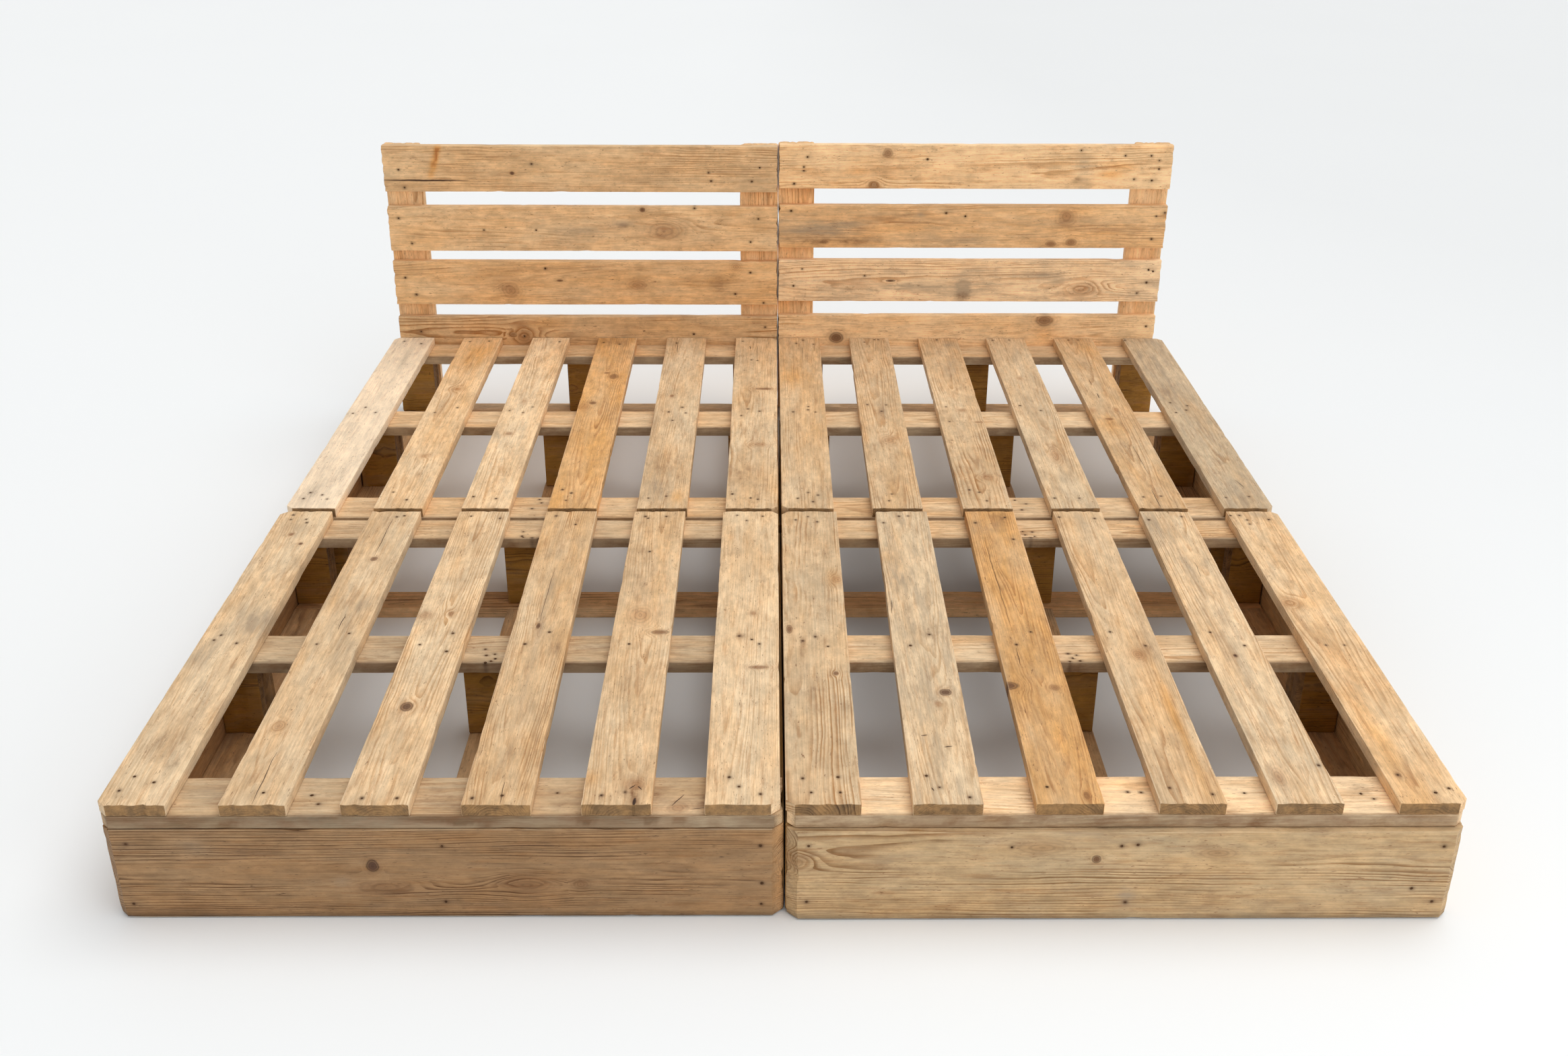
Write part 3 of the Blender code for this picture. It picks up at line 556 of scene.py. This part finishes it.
def board_grid(low, high, cuts=(0, 0, 0, 0), face_cuts=(0, 0), round_end=0.0, step=7 * MM,
               rough=1.0, face=1, skew=0.0):
    """Rows of sections in (s, t, w). Row i lies at s_i; its section is the rectangle
    [t0(s), t1(s)] x [w0(s), w1(s, t)] with corner radius r_k(s). cuts are the 45 degree cuts at
    the corners (s0,t0), (s0,t1), (s1,t0), (s1,t1); face_cuts take the show side back at s0 and s1;
    round_end rounds both corners at s1; skew shifts the board across from s0 to s1, half of it
    either way. Returns points (rows, section, 3)."""
    length = high[0] - low[0]
    inner = np.arange(END_STEPS[-1] + step, length - END_STEPS[-1] - step / 2, step)
    along = np.concatenate((END_STEPS, inner, length - END_STEPS[::-1]))
    from_start, from_end = along, length - along
    cut = lambda size, distance: np.maximum(size - distance, 0)
    thickness, width = high[2] - low[2], high[1] - low[1]
    loss = lambda: rough * (EDGE_WAVE * (1 + wave(along, 1.1, 2)) + chips(along, 2, EDGE_CHIP, 14 * MM))
    t0 = low[1] + loss() + cut(cuts[0], from_start) + cut(cuts[2], from_end)
    t1 = high[1] - loss() - cut(cuts[1], from_start) - cut(cuts[3], from_end)
    if round_end:
        arc = round_end - np.sqrt(round_end**2 - (round_end - from_end).clip(0) ** 2)
        t0, t1 = t0 + arc, t1 - arc

    # Corner radii: worn arrises with missing splinters, rounder at the two ends.
    radii = []
    for _ in range(4):
        worn = ARRIS_RADIUS + 0.5 * MM * wave(along, 0.5, 3)
        radius = worn * rough + chips(along, 4, ARRIS_CHIP * rough, 13 * MM)
        radii.append(np.clip(radius, 0.4 * MM, 0.42 * min(thickness, width)))
    bevel = END_BEVEL * rough
    inset = bevel * (1 - np.sqrt(np.clip(1 - (1 - np.minimum(from_start, from_end) / bevel).clip(0) ** 2, 0, 1)))
    low_w, high_w = low[2] + inset, high[2] - inset
    back = cut(face_cuts[0], from_start) + cut(face_cuts[1], from_end)
    low_w, high_w = (low_w, high_w - back) if face > 0 else (low_w + back, high_w)
    t0, t1 = t0 + inset, t1 - inset

    # The section, counterclockwise from the lower left corner of the top face's left arris.
    turn = np.linspace(0, np.pi / 2, ARRIS_POINTS)
    sides = ((t0, high_w, 1, -1, np.pi), (t1, high_w, -1, -1, np.pi / 2), (t1, low_w, -1, 1, 0.0),
             (t0, low_w, 1, 1, -np.pi / 2))
    arrises, loop = [], []
    for (edge_t, edge_w, sign_t, sign_w, start), radius in zip(sides, radii):
        centre = np.stack((edge_t + sign_t * radius, edge_w + sign_w * radius), -1)
        circle = np.stack((np.cos(start - turn), np.sin(start - turn)), -1)
        arrises.append(centre[:, None] + radius[:, None, None] * circle)
    for k, between in enumerate((FACE_POINTS, 0, FACE_POINTS, 0)):
        here, there = arrises[k][:, -1:], arrises[(k + 1) % 4][:, :1]
        share = (np.arange(between) + 1) / (between + 1)
        loop += [arrises[k], here + (there - here) * share[:, None]]
    t, w = np.moveaxis(np.concatenate(loop, 1), -1, 0)

    # Ends sawn a little out of square and splintered; a face that is slightly cupped and bowed.
    slant = rough * 0.5 * MM * rng.uniform(-1, 1, 2)
    across = (t - low[1]) / width
    fray = lambda: rough * (0.5 * MM * (1 + wave(t[0], 0.03)) + chips(t[0], 5, END_SPLINTER, 4 * MM))
    first = np.abs(slant[0]) + slant[0] * (2 * across - 1) + fray()
    last = np.abs(slant[1]) + slant[1] * (2 * across - 1) + fray()
    s = low[0] + first + along[:, None] * (length - first - last) / length
    lift = (w - low[2]) / thickness
    lift = lift if face > 0 else 1 - lift
    sag = BOW * (1 + wave(along, 1.3))[:, None] + CUPPING * rng.uniform(0, 1) * (2 * across - 1) ** 2
    w = w - face * lift * sag * rough
    return np.stack((s, t + skew * (along / length - 0.5)[:, None], w), -1)


def closed_faces(rows, section):
    """Quads of a grid that closes round the section, and caps of quads that join the section's
    upper half to its lower half. All face outward where (s, t, w) is right-handed."""
    i, j = np.meshgrid(np.arange(rows - 1), np.arange(section), indexing="ij")
    after = (j + 1) % section
    quads = np.stack((i * section + j, (i + 1) * section + j, (i + 1) * section + after, i * section + after), -1)
    top = np.arange(section // 2)
    below = section - 1 - top
    near = np.stack((top[:-1], top[1:], below[1:], below[:-1]), -1)
    far = near[:, ::-1] + (rows - 1) * section
    return np.concatenate((quads.reshape(-1, 4), near, far))


print("one section has", 4 * ARRIS_POINTS + 2 * FACE_POINTS, "points")

# %% [markdown]
# ## The wood inside the board
#
# The material needs to know, at each point, where that point lay in the log and how far it is
# from the nearest knot, crack, edge and end. All of these change evenly across the board, so a
# value on each corner of the grid gives them exactly everywhere between.

# %% Attributes of a board
NOTHING_NEAR, NO_CRACK, NAIL_RADIUS = (18.0, 0.0, 0.0), (5.0, 50.0, 0.0), 3.0


def nearest(flat, rows, radii, claim=1.0):
    """Offset of each face corner to one feature, in that feature's radii. All four corners of a
    face take the feature that is nearest to the face's middle, so nothing is blended between two
    features; one with a high claim wins against nearer ones with a low claim."""
    middles = flat.reshape(-1, 4, 2).mean(1)
    distance = (((middles[:, None, :] - rows[:, :2]) / radii) ** 2).sum(-1) / claim
    best = np.repeat(np.argmin(distance, 1), 4)
    radii = np.broadcast_to(radii, (len(rows), 2))
    return (flat - rows[best, :2]) / radii[best], best


def knot_values(flat, knots, along_first):
    """(ds / r, dt / r, darkness) and mean radius of the knot nearest in its own radii."""
    if not knots:
        return np.tile(NOTHING_NEAR, (len(flat), 1)), np.zeros(len(flat))
    rows = np.array(knots, float)
    values, best = nearest(flat, rows, rows[:, 2:4][:, along_first[:2]], 0.4 + rows[:, 4])
    return np.column_stack((values, rows[best, 4])), rows[best, 2:4].mean(1) * MM


def crack_values(flat, cracks):
    """(place along the crack from -1 to 1, millimetres across it, half width in millimetres)."""
    if not cracks:
        return np.tile(NO_CRACK, (len(flat), 1))
    rows = np.array(cracks, float)
    middle, half = (rows[:, :2] + rows[:, 2:4]) / 2, (rows[:, 2:4] - rows[:, :2]) / 2
    size = np.linalg.norm(half, axis=1)
    unit = half / size[:, None]
    offset = flat[:, None, :] - middle
    along = (offset * unit).sum(-1) / size
    across = offset[..., 0] * -unit[:, 1] + offset[..., 1] * unit[:, 0]
    away = np.hypot(across, np.maximum(np.abs(along) - 1, 0) * size)
    best = np.repeat(np.argmin(away.reshape(-1, 4, len(rows)).mean(1), 1), 4)
    pick = np.arange(len(flat)), best
    return np.column_stack((along[pick], across[pick], rows[best, 4] / 2))


def stain_values(flat, stains):
    """Sum of bells strength * exp(-(dx/rx)^2 - (dy/ry)^2) for grey, grime, amber and painted shade stains."""
    values = np.zeros((len(flat), 4))
    for x, y, wide, high, kind, strength in stains:
        offset = (flat - (x, y)) / (wide, high)
        values[:, kind] += strength * np.exp(-(offset**2).sum(-1))
    return values


def nail_values(flat, nails):
    """(ds, dt) to the nearest nail in nail radii, and how rusty its hole is."""
    if not nails:
        return np.tile(NOTHING_NEAR, (len(flat), 1))
    rows = np.array(nails, float).reshape(-1, 2)
    values, best = nearest(flat, rows, np.array((NAIL_RADIUS, NAIL_RADIUS)))
    return np.column_stack((values, rng.uniform(0.2, 1.0, len(rows))[best]))


print("attributes ready")

# %% [markdown]
# ## Building the boards
#
# `order` names the axis along the board, the one across it and the one through it. The deck's
# boards run along the bed, the others across it, and the posts stand.

# %% Making a board
PALLET_CUT, LONG_CUT, POST_ROUND, SHARP_ANGLE = 13 * MM, 17 * MM, 7 * MM, float(np.radians(38))
made = []


def new_object(name, points, faces, materials):
    """A mesh object at the origin from points in metres and lists of corner numbers."""
    mesh = bpy.data.meshes.new(name)
    mesh.from_pydata(points.tolist(), [], faces)
    mesh.update()
    mesh.polygons.foreach_set("use_smooth", np.ones(len(mesh.polygons), bool))
    for material in materials:
        mesh.materials.append(material)
    piece = bpy.data.objects.new(name, mesh)
    bpy.context.scene.collection.objects.link(piece)
    return piece


def write(mesh, label, values, kind="FLOAT_VECTOR", domain="POINT"):
    """Stores one value per point, or per face corner, of the mesh."""
    layer = mesh.attributes.new(label, kind, domain)
    values = np.ascontiguousarray(values, np.float32).ravel()
    layer.data.foreach_set("vector" if kind == "FLOAT_VECTOR" else "value", values)


def make_board(name, box, order, material, entry, face=1, **shape):
    """One board that fills the box, with its wood. face is +1 where its show side is the high side."""
    axes = [AXES[letter] for letter in order]
    low, high = np.array(box[0])[axes], np.array(box[1])[axes]
    grid = board_grid(low, high, face=face, **shape)
    rows, section = grid.shape[:2]
    faces = closed_faces(rows, section)
    local = grid.reshape(-1, 3)
    points = np.empty_like(local)
    points[:, axes] = local
    right_handed = np.linalg.det(np.eye(3)[axes]) > 0
    faces = faces if right_handed else faces[:, ::-1]
    piece = new_object(name, points, faces.tolist(), (material,))
    piece.data.set_sharp_from_angle(angle=SHARP_ANGLE)

    s, t, w = local.T
    middle = (low + high) / 2
    depth = (high[2] - w) if face > 0 else (w - low[2])
    across, below, lean_t, lean_w, spacing = (v * MM for v in entry["log"])
    a = t - middle[1] - across - lean_t * (s - middle[0])
    b = -depth - below - lean_w * (s - middle[0])
    scale = RING_SPACING / spacing
    offset = rng.uniform(0, 40)
    write(piece.data, "grain", np.column_stack((s + offset, a * scale, b * scale)))
    flat = points[:, sorted(axes[:2])] / MM
    along_first = [0, 1, 2] if axes[0] < axes[1] else [1, 0, 2]
    corners = flat[faces.ravel()]
    values, sizes = knot_values(corners, entry.get("knots", ()), along_first)
    write(piece.data, "knot", values[:, along_first], domain="CORNER")
    write(piece.data, "knot_size", sizes, "FLOAT", "CORNER")
    write(piece.data, "crack", crack_values(corners, entry.get("cracks", ())), domain="CORNER")
    stains = stain_values(flat, entry.get("stains", ()))
    write(piece.data, "stain", stains[:, :3])
    write(piece.data, "nail", nail_values(corners, entry.get("nails", ()))[:, along_first], domain="CORNER")
    write(piece.data, "tone", np.tile(entry["tone"], (len(local), 1)))
    # One multiplier of the colour: the board's light value, partly its own paleness and partly painted light and
    # shade, and its shade stains, which are painted shade and lighten where their strength is negative.
    write(piece.data, "tone_and_painted_light", entry.get("light", 1.0) * (1 - stains[:, 3]), "FLOAT")
    edge = np.maximum(np.minimum(t - low[1], high[1] - t), np.minimum(w - low[2], high[2] - w)) / MM
    capped = np.zeros((rows, section))
    capped[[0, -1]] = entry.get("sawn", 1.0)
    write(piece.data, "edge", edge, "FLOAT")
    write(piece.data, "sawn", capped, "FLOAT")
    made.append(piece)
    return piece


def random_entry(tone):
    """An entry with its pith somewhere under the board and a tone near the given one."""
    log = [rng.uniform(*span) for span in ((-40, 40), (-90, -20), (-8, 8), (8, 30), (2.8, 4.4))]
    return dict(log=log, tone=np.clip(np.array(tone) + rng.uniform(-0.12, 0.12, 3), 0, 2))


print(len(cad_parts), "CAD nodes")

# %% [markdown]
# ## Nails
#
# Pallet nails are driven by machine until the head is a little below the surface. The heads are
# round, thin and rusty. Each pallet's nails are one piece: a low dome of twelve sides for each.

# %% Nail heads
HEAD_RADIUS, HEAD_SIDES, HEAD_DEPTH = 2.6 * MM, 12, 0.45 * MM


def rusty_steel():
    """Oxidised nail steel: dark brown oxide over grey metal, mixed by a fine noise."""
    material, tree, shader = new_material("rusty_nail_steel")
    place = add(tree, "ShaderNodeTexCoord").node.outputs["Object"]
    rust = add(tree, "ShaderNodeTexNoise", {"Vector": place, "Scale": 420.0, "Detail": 3.0})
    shade = add(tree, "ShaderNodeValToRGB", {"Fac": rust})
    stops = shade.node.color_ramp.elements
    stops[0].position, stops[0].color = 0.35, linear("#33200F")
    stops[1].position, stops[1].color = 0.7, linear("#6B4A2C")
    tree.links.new(shade, shader.inputs["Base Color"])
    shader.inputs["Roughness"].default_value = 0.8
    shader.inputs["Specular IOR Level"].default_value = 0.2
    relief = add(tree, "ShaderNodeBump", {"Height": rust, "Strength": 0.4, "Distance": 0.0004})
    tree.links.new(relief, shader.inputs["Normal"])
    return material


def nail_heads(centres, through, face):
    """Domes of radius R: rings at R, 0.97 R, 0.78 R and 0.3 R that rise from 1.2 mm below the
    given level to 0.4 mm above it."""
    turn = np.linspace(0, 2 * np.pi, HEAD_SIDES, endpoint=False)
    radii = np.repeat((1.0, 0.97, 0.78, 0.3), HEAD_SIDES) * HEAD_RADIUS
    rise = np.repeat((-1.2, 0.05, 0.32, 0.4), HEAD_SIDES) * MM
    u, v = radii * np.cos(np.tile(turn, 4)), radii * np.sin(np.tile(turn, 4))
    size = rng.uniform(0.6, 1.1, len(centres))[:, None]
    plane = [axis for axis in range(3) if axis != through]
    points = np.zeros((len(centres), len(u), 3))
    points[..., plane[0]] = centres[:, None, 0] + u * size
    points[..., plane[1]] = centres[:, None, 1] + v * size
    points[..., through] = centres[:, None, 2] + face * rise
    ring = np.arange(HEAD_SIDES)
    one = []
    for low in (ring, ring + HEAD_SIDES, ring + 2 * HEAD_SIDES):
        after = np.roll(low, -1)
        one += np.stack((low, after, after + HEAD_SIDES, low + HEAD_SIDES), -1).tolist()
    one += [(ring + 3 * HEAD_SIDES).tolist(), ring[::-1].tolist()]
    if (plane != [0, 2]) != (face > 0):
        one = [corners[::-1] for corners in one]
    faces = [[v + n * len(u) for v in corners] for n in range(len(centres)) for corners in one]
    return points.reshape(-1, 3), faces


nail_steel = rusty_steel()

# %% [markdown]
# ## All the boards
#
# Each CAD node gets its board. A kind of board has its order of axes, its show side and the
# step of its grid. Deck boards lean a little to one side on their way from the foot to the
# head, and the boards at the gap between the two halves reach into it, as in the photograph.
# LEANS and LAPS are in millimetres. The posts' sawn tops are left pale, a painted highlight of the light from above;
# all other sawn ends are dark.

# %% Boards, in the CAD's order
KINDS = {"deck_board": ("yxz", 1, 7), "cross_board": ("xyz", 1, 10), "side_fascia": ("yzx", 1, 10),
         "front_fascia": ("xzy", -1, 7), "slat": ("xzy", -1, 7), "post": ("zxy", -1, 10)}
LEANS = {
    "foot_left": (0, 3, 2.5, 1, 3.5, 2),
    "foot_right": (1, 5, 4.5, 1.5, 6, 0),
    "head_left": (5, 6, 7, 5, 3, 2),
    "head_right": (0, 0, -4, -6, -7, 0),
}
LAPS = {"foot_left_deck_board_6": -0.8, "foot_right_deck_board_1": 3.5, "head_left_deck_board_6": 1.5,
        "head_right_deck_board_1": 2.5, "foot_left_front_fascia": 4.0, "foot_right_front_fascia": 4.0,
        "foot_left_cross_board_1": 2.5, "foot_right_cross_board_1": 3.0}
PANEL_LAP, POST_LAP = 2.5, 3.5
LAST_BOARD = {"deck_board": "6", "cross_board": "3"}
nails = {}


def corner_cuts(name, kind):
    """The cuts of a pallet's plan corners, on the boards that reach them."""
    low = PALLET_CUT * (kind in LAST_BOARD and name[-1] == "1")
    high = PALLET_CUT * (name[-1] == LAST_BOARD.get(kind))
    return low, high, low, high


def keep_nails(key, entry, level):
    """Collects nail centres in metres with the level of the surface they sit in."""
    spots = np.array(entry.get("nails", ()), float).reshape(-1, 2) * MM
    nails.setdefault(key, []).append(np.column_stack((spots, np.full(len(spots), level))))


def hand_over(piece, node):
    """Ties a piece to the body and hides the CAD node that it takes the place of."""
    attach(piece, "root")
    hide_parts(node)


for name in sorted(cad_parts):
    if "base_frame" in name:
        continue
    low, high = (np.array(corner, float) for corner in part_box(name))
    kind = next(key for key in KINDS if key in name)
    group = "_".join(name.split("_")[:2])
    left = "_left_" in name
    order, face, step = KINDS[kind]
    entry = BOARDS.get(name, {})
    if "log" not in entry:
        entry = {**random_entry(PLAIN_TONES[kind]), **entry}
    entry.setdefault("light", PLAIN_TONE_AND_PAINTED_LIGHT.get(kind, 1.0))
    entry.setdefault("sawn", POST_TOPS_PAINTED_LIT if kind == "post" else 1.0)
    lap = PANEL_LAP if kind == "slat" else POST_LAP if "inner_post" in name else LAPS.get(name, 0)
    if left:
        high[0] += lap * MM
    else:
        low[0] -= lap * MM
    material = SLAT_PINE if kind in ("slat", "post") else DECK_PINE
    if "fascia" in kind:
        material = LEFT_FRONT_PINE if left else RIGHT_FRONT_PINE
    shape = dict(cuts=corner_cuts(name, kind), step=step * MM)
    if kind == "deck_board":
        shape["skew"] = LEANS[group][int(name[-1]) - 1] * MM
    elif kind == "front_fascia":
        shape["face_cuts"] = (PALLET_CUT, LONG_CUT) if left else (LONG_CUT, PALLET_CUT)
    elif kind == "side_fascia":
        face = 1 if low[0] > 0 else -1
        shape["face_cuts"] = (0, PALLET_CUT) if "foot" in name else (PALLET_CUT, 0)
    elif kind == "post":
        shape["round_end"] = POST_ROUND
    elif kind == "cross_board" and name[-1] != "1":
        # The edge towards the foot lies in the shadow of the deck: it gets grime and painted shade.
        edge = (500 * np.sign(low[0] + high[0]), low[1] / MM - 2, 900, 6)
        entry["stains"] = (*entry.get("stains", ()), (*edge, 1, 0.6), (*edge, 3, 0.5))
    piece = make_board(name + "_wood", (low, high), order, material, entry, face, **shape)
    hand_over(piece, name)
    through = AXES[order[2]]
    keep_nails((group, through, face), entry, (high if face > 0 else low)[through] - face * HEAD_DEPTH)
print(len(made), "boards")

# %% [markdown]
# ## Base frames
#
# A base frame is one solid in the CAD, but really nine blocks, three runners, a rear board and
# a side board, nailed together, so it is replaced by those fourteen. Their places are in
# metres: x from the pallet's middle, y and z in the bed's frame.

# %% Blocks, runners and rear boards
BLOCK_Z, BASE_Z, SIDE_Z = (0.022, 0.163), (0.0, 0.022), (0.002, 0.162)
PALLET_MIDDLE, HALF_ROW, INNER_SIDE = 0.505, 0.4777, (0.0276, 0.0008)
FOOT_X = ((-HALF_ROW, -0.4027), (-0.049, 0.049), (0.4027, HALF_ROW))
HEAD_X = ((-HALF_ROW, -0.3867), (-0.044, 0.044), (0.3867, HALF_ROW))
LEFT_RUNNERS = ((-HALF_ROW, -0.3797), (-0.048, 0.048), (0.393, HALF_ROW))
RIGHT_RUNNERS = ((-HALF_ROW, -0.393), (-0.048, 0.048), (0.3797, HALF_ROW))
FOOT_ROWS = ((-0.5788, -0.5038), (-0.1013, -0.0468))
HEAD_ROWS = ((-0.0138, 0.0662), (0.4742, 0.5492), (0.9492, 1.0102))
FOOT_REAR, HEAD_REAR = (-0.1188, -0.0468), (0.9382, 1.0102)
FOOT_SIDE_END, HEAD_SIDE = -0.0438, (-0.0318, 0.5492)
BASES = {
    "foot_left": (FOOT_X, LEFT_RUNNERS, ((-1.0255, -0.9455), *FOOT_ROWS), FOOT_REAR, (-1.0255, FOOT_SIDE_END)),
    "foot_right": (FOOT_X, RIGHT_RUNNERS, ((-1.0345, -0.9545), *FOOT_ROWS), FOOT_REAR, (-1.0345, FOOT_SIDE_END)),
    "head_left": (HEAD_X, LEFT_RUNNERS, HEAD_ROWS, HEAD_REAR, HEAD_SIDE),
    "head_right": (HEAD_X, RIGHT_RUNNERS, HEAD_ROWS, HEAD_REAR, HEAD_SIDE),
}


def base_board(pallet, part, spans, order, material, tone, light=1.0, face=1, **shape):
    """A board of a base frame between the given (low, high) pairs in x, y and z."""
    entry = {**random_entry(tone), "light": light}
    piece = make_board(f"{pallet}_{part}", tuple(zip(*spans)), order, material, entry, face, **shape)
    hand_over(piece, pallet + "_base_frame")


for pallet, (columns, runners, rows, rear, inner) in BASES.items():
    side = -1 if "left" in pallet else 1
    foot = "foot" in pallet
    middle = side * PALLET_MIDDLE
    for row, span in enumerate(rows, 1):
        for column, (x0, x1) in enumerate(columns, 1):
            spans = ((middle + x0, middle + x1), span, BLOCK_Z)
            shape = dict(step=9 * MM, rough=1.4)
            base_board(pallet, f"block_{row}{column}", spans, "xyz", BLOCK_PINE, (0.4, 0.2, 0.9), **shape)
    for column, (x0, x1) in enumerate(runners, 1):
        spans = ((middle + x0, middle + x1), (rows[0][0], rear[0]), BASE_Z)
        wood, light = LEFT_FRONT_PINE, PLAIN_TONE_AND_PAINTED_LIGHT["runner"]
        base_board(pallet, f"runner_{column}", spans, "yxz", wood, (0.3, 0.3, 0.8), light, step=16 * MM)
    spans = ((middle - HALF_ROW, middle + HALF_ROW), rear, BASE_Z)
    wood, light = LEFT_FRONT_PINE if foot else DECK_PINE, PLAIN_TONE_AND_PAINTED_LIGHT[pallet[:4] + "_rear"]
    base_board(pallet, "rear_base_board", spans, "xyz", wood, (0.3, 0.3, 1.2), light, step=16 * MM)
    spans = (sorted(side * x for x in INNER_SIDE), inner, SIDE_Z)
    shape = dict(face=-side, face_cuts=(0, PALLET_CUT) if foot else (PALLET_CUT, 0), step=14 * MM)
    base_board(pallet, "inner_side_board", spans, "yzx", BLOCK_PINE, (0.35, 0.2, 0.9), **shape)
print(len(made), "boards and blocks")

# %% [markdown]
# ## One piece of nails for each pallet and panel

# %% Nails
groups = {}
for (group, through, face), centres in nails.items():
    groups.setdefault(group, []).append(nail_heads(np.concatenate(centres), through, face))
for group, heads in groups.items():
    points, faces = [], []
    for some, quads in heads:
        start = sum(map(len, points))
        points.append(some)
        faces += [[v + start for v in corners] for corners in quads]
    piece = new_object(group + "_nails", np.concatenate(points), faces, (nail_steel,))
    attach(piece, "root")
print("nail groups:", sorted(groups))

# %% [markdown]
# ## Floor and light
#
# The bed lies on a seamless white floor. The light is broad and comes from above, so that the
# deck is bright, the fronts are darker and the floor under the bed is nearly in the dark. The
# front boards also carry painted shade, and the floor's colour adds painted shade under the bed
# and a painted gradient of light across it.

# %% Stage
FLOOR_SIZE, COOL_WHITE = 30.0, (0.982, 1.0, 1.0)
UNDER_BED_SHADE_CENTRE, UNDER_BED_SHADE_RADII, UNDER_BED_SHADE_DEPTH = (0.32, -0.03, 0.0), (0.62, 0.6, 1000.0), 0.42


def white_floor():
    """White seamless studio floor: matt paint with the faintest mottling, a painted gradient of light
    across it, and painted shade where the bed stands, a bell that is deepest under the right half."""
    material, tree, shader = new_material("white_studio_floor")
    calc = calculator(tree)
    place = add(tree, "ShaderNodeTexCoord").node.outputs["Object"]
    cloud = add(tree, "ShaderNodeTexNoise", {"Vector": place, "Scale": 1.1, "Detail": 2.0})
    spot = add(tree, "ShaderNodeSeparateXYZ", {0: place}).node.outputs
    # A painted gradient of light: paler towards the rear left and the front right, duller towards the rear right and
    # the front left.
    corner = {"Value": calc("*", spot[0], calc("+", spot[1], 1.0)), "From Min": -2.0, "From Max": 9.0}
    painted_falloff = add(tree, "ShaderNodeMapRange", {**corner, "To Min": 0.97, "To Max": 0.91})
    mottled = add(tree, "ShaderNodeMapRange", {"Value": cloud, "To Min": 0.985, "To Max": 1.0})
    # Painted shade under the bed: the floor's colour is dulled by up to 42 % in a bell centred under the right half.
    offset = add(tree, VECTOR, {0: place, 1: UNDER_BED_SHADE_CENTRE}, operation="SUBTRACT")
    offset = add(tree, VECTOR, {0: offset, 1: UNDER_BED_SHADE_RADII}, operation="DIVIDE")
    distance = add(tree, VECTOR, {0: offset, 1: offset}, operation="DOT_PRODUCT").node.outputs["Value"]
    painted_shade = calc("MULTIPLY_ADD", calc("EXPONENT", calc("*", distance, -1.0)), -UNDER_BED_SHADE_DEPTH, 1.0)
    shade = add(tree, VECTOR, {0: calc("*", painted_falloff, mottled, painted_shade), 1: COOL_WHITE}, operation="MULTIPLY")
    tree.links.new(shade, shader.inputs["Base Color"])
    shader.inputs["Roughness"].default_value = 0.6
    return material


corners = FLOOR_SIZE / 2 * np.array(((-1, -1, 0), (1, -1, 0), (1, 1, 0), (-1, 1, 0)))
floor = new_object("studio_floor", corners - (0, 0, 0.4 * MM), [[0, 1, 2, 3]], (white_floor(),))

# %% [markdown]
# Two wide distant lamps light the whole floor evenly, one large lamp fills in from the front
# right, and the world does the rest.

# %% Lamps and world


def lamp(name, kind, towards, energy, place=(0, 0, 0), **settings):
    """A lamp that stands in the given direction and shines back along it."""
    light = bpy.data.lights.new(name, kind)
    light.energy = energy
    for key, value in settings.items():
        setattr(light, key, value)
    unit = bpy.data.objects.new(name, light)
    unit.location = place
    unit.rotation_euler = Vector(towards).to_track_quat("Z", "Y").to_euler()
    bpy.context.scene.collection.objects.link(unit)


lamp("high_right_light", "SUN", (0.4, 0.22, 1.2), 1.2, angle=float(np.radians(50)))
lamp("front_light", "SUN", (0.5, -0.9, 0.9), 0.6, angle=float(np.radians(60)))
lamp("front_right_fill", "AREA", (0.9, -2.2, 1.4), 13.0, (2.2, -3.2, 1.5), size=1.6)
world = bpy.data.worlds.new("studio")
bpy.context.scene.world = world
world.use_nodes = True
sky = world.node_tree.nodes["Background"]
sky.inputs["Color"].default_value = linear("#FBFBFC")
sky.inputs["Strength"].default_value = 0.53
bpy.context.scene.view_settings.view_transform = "Standard"
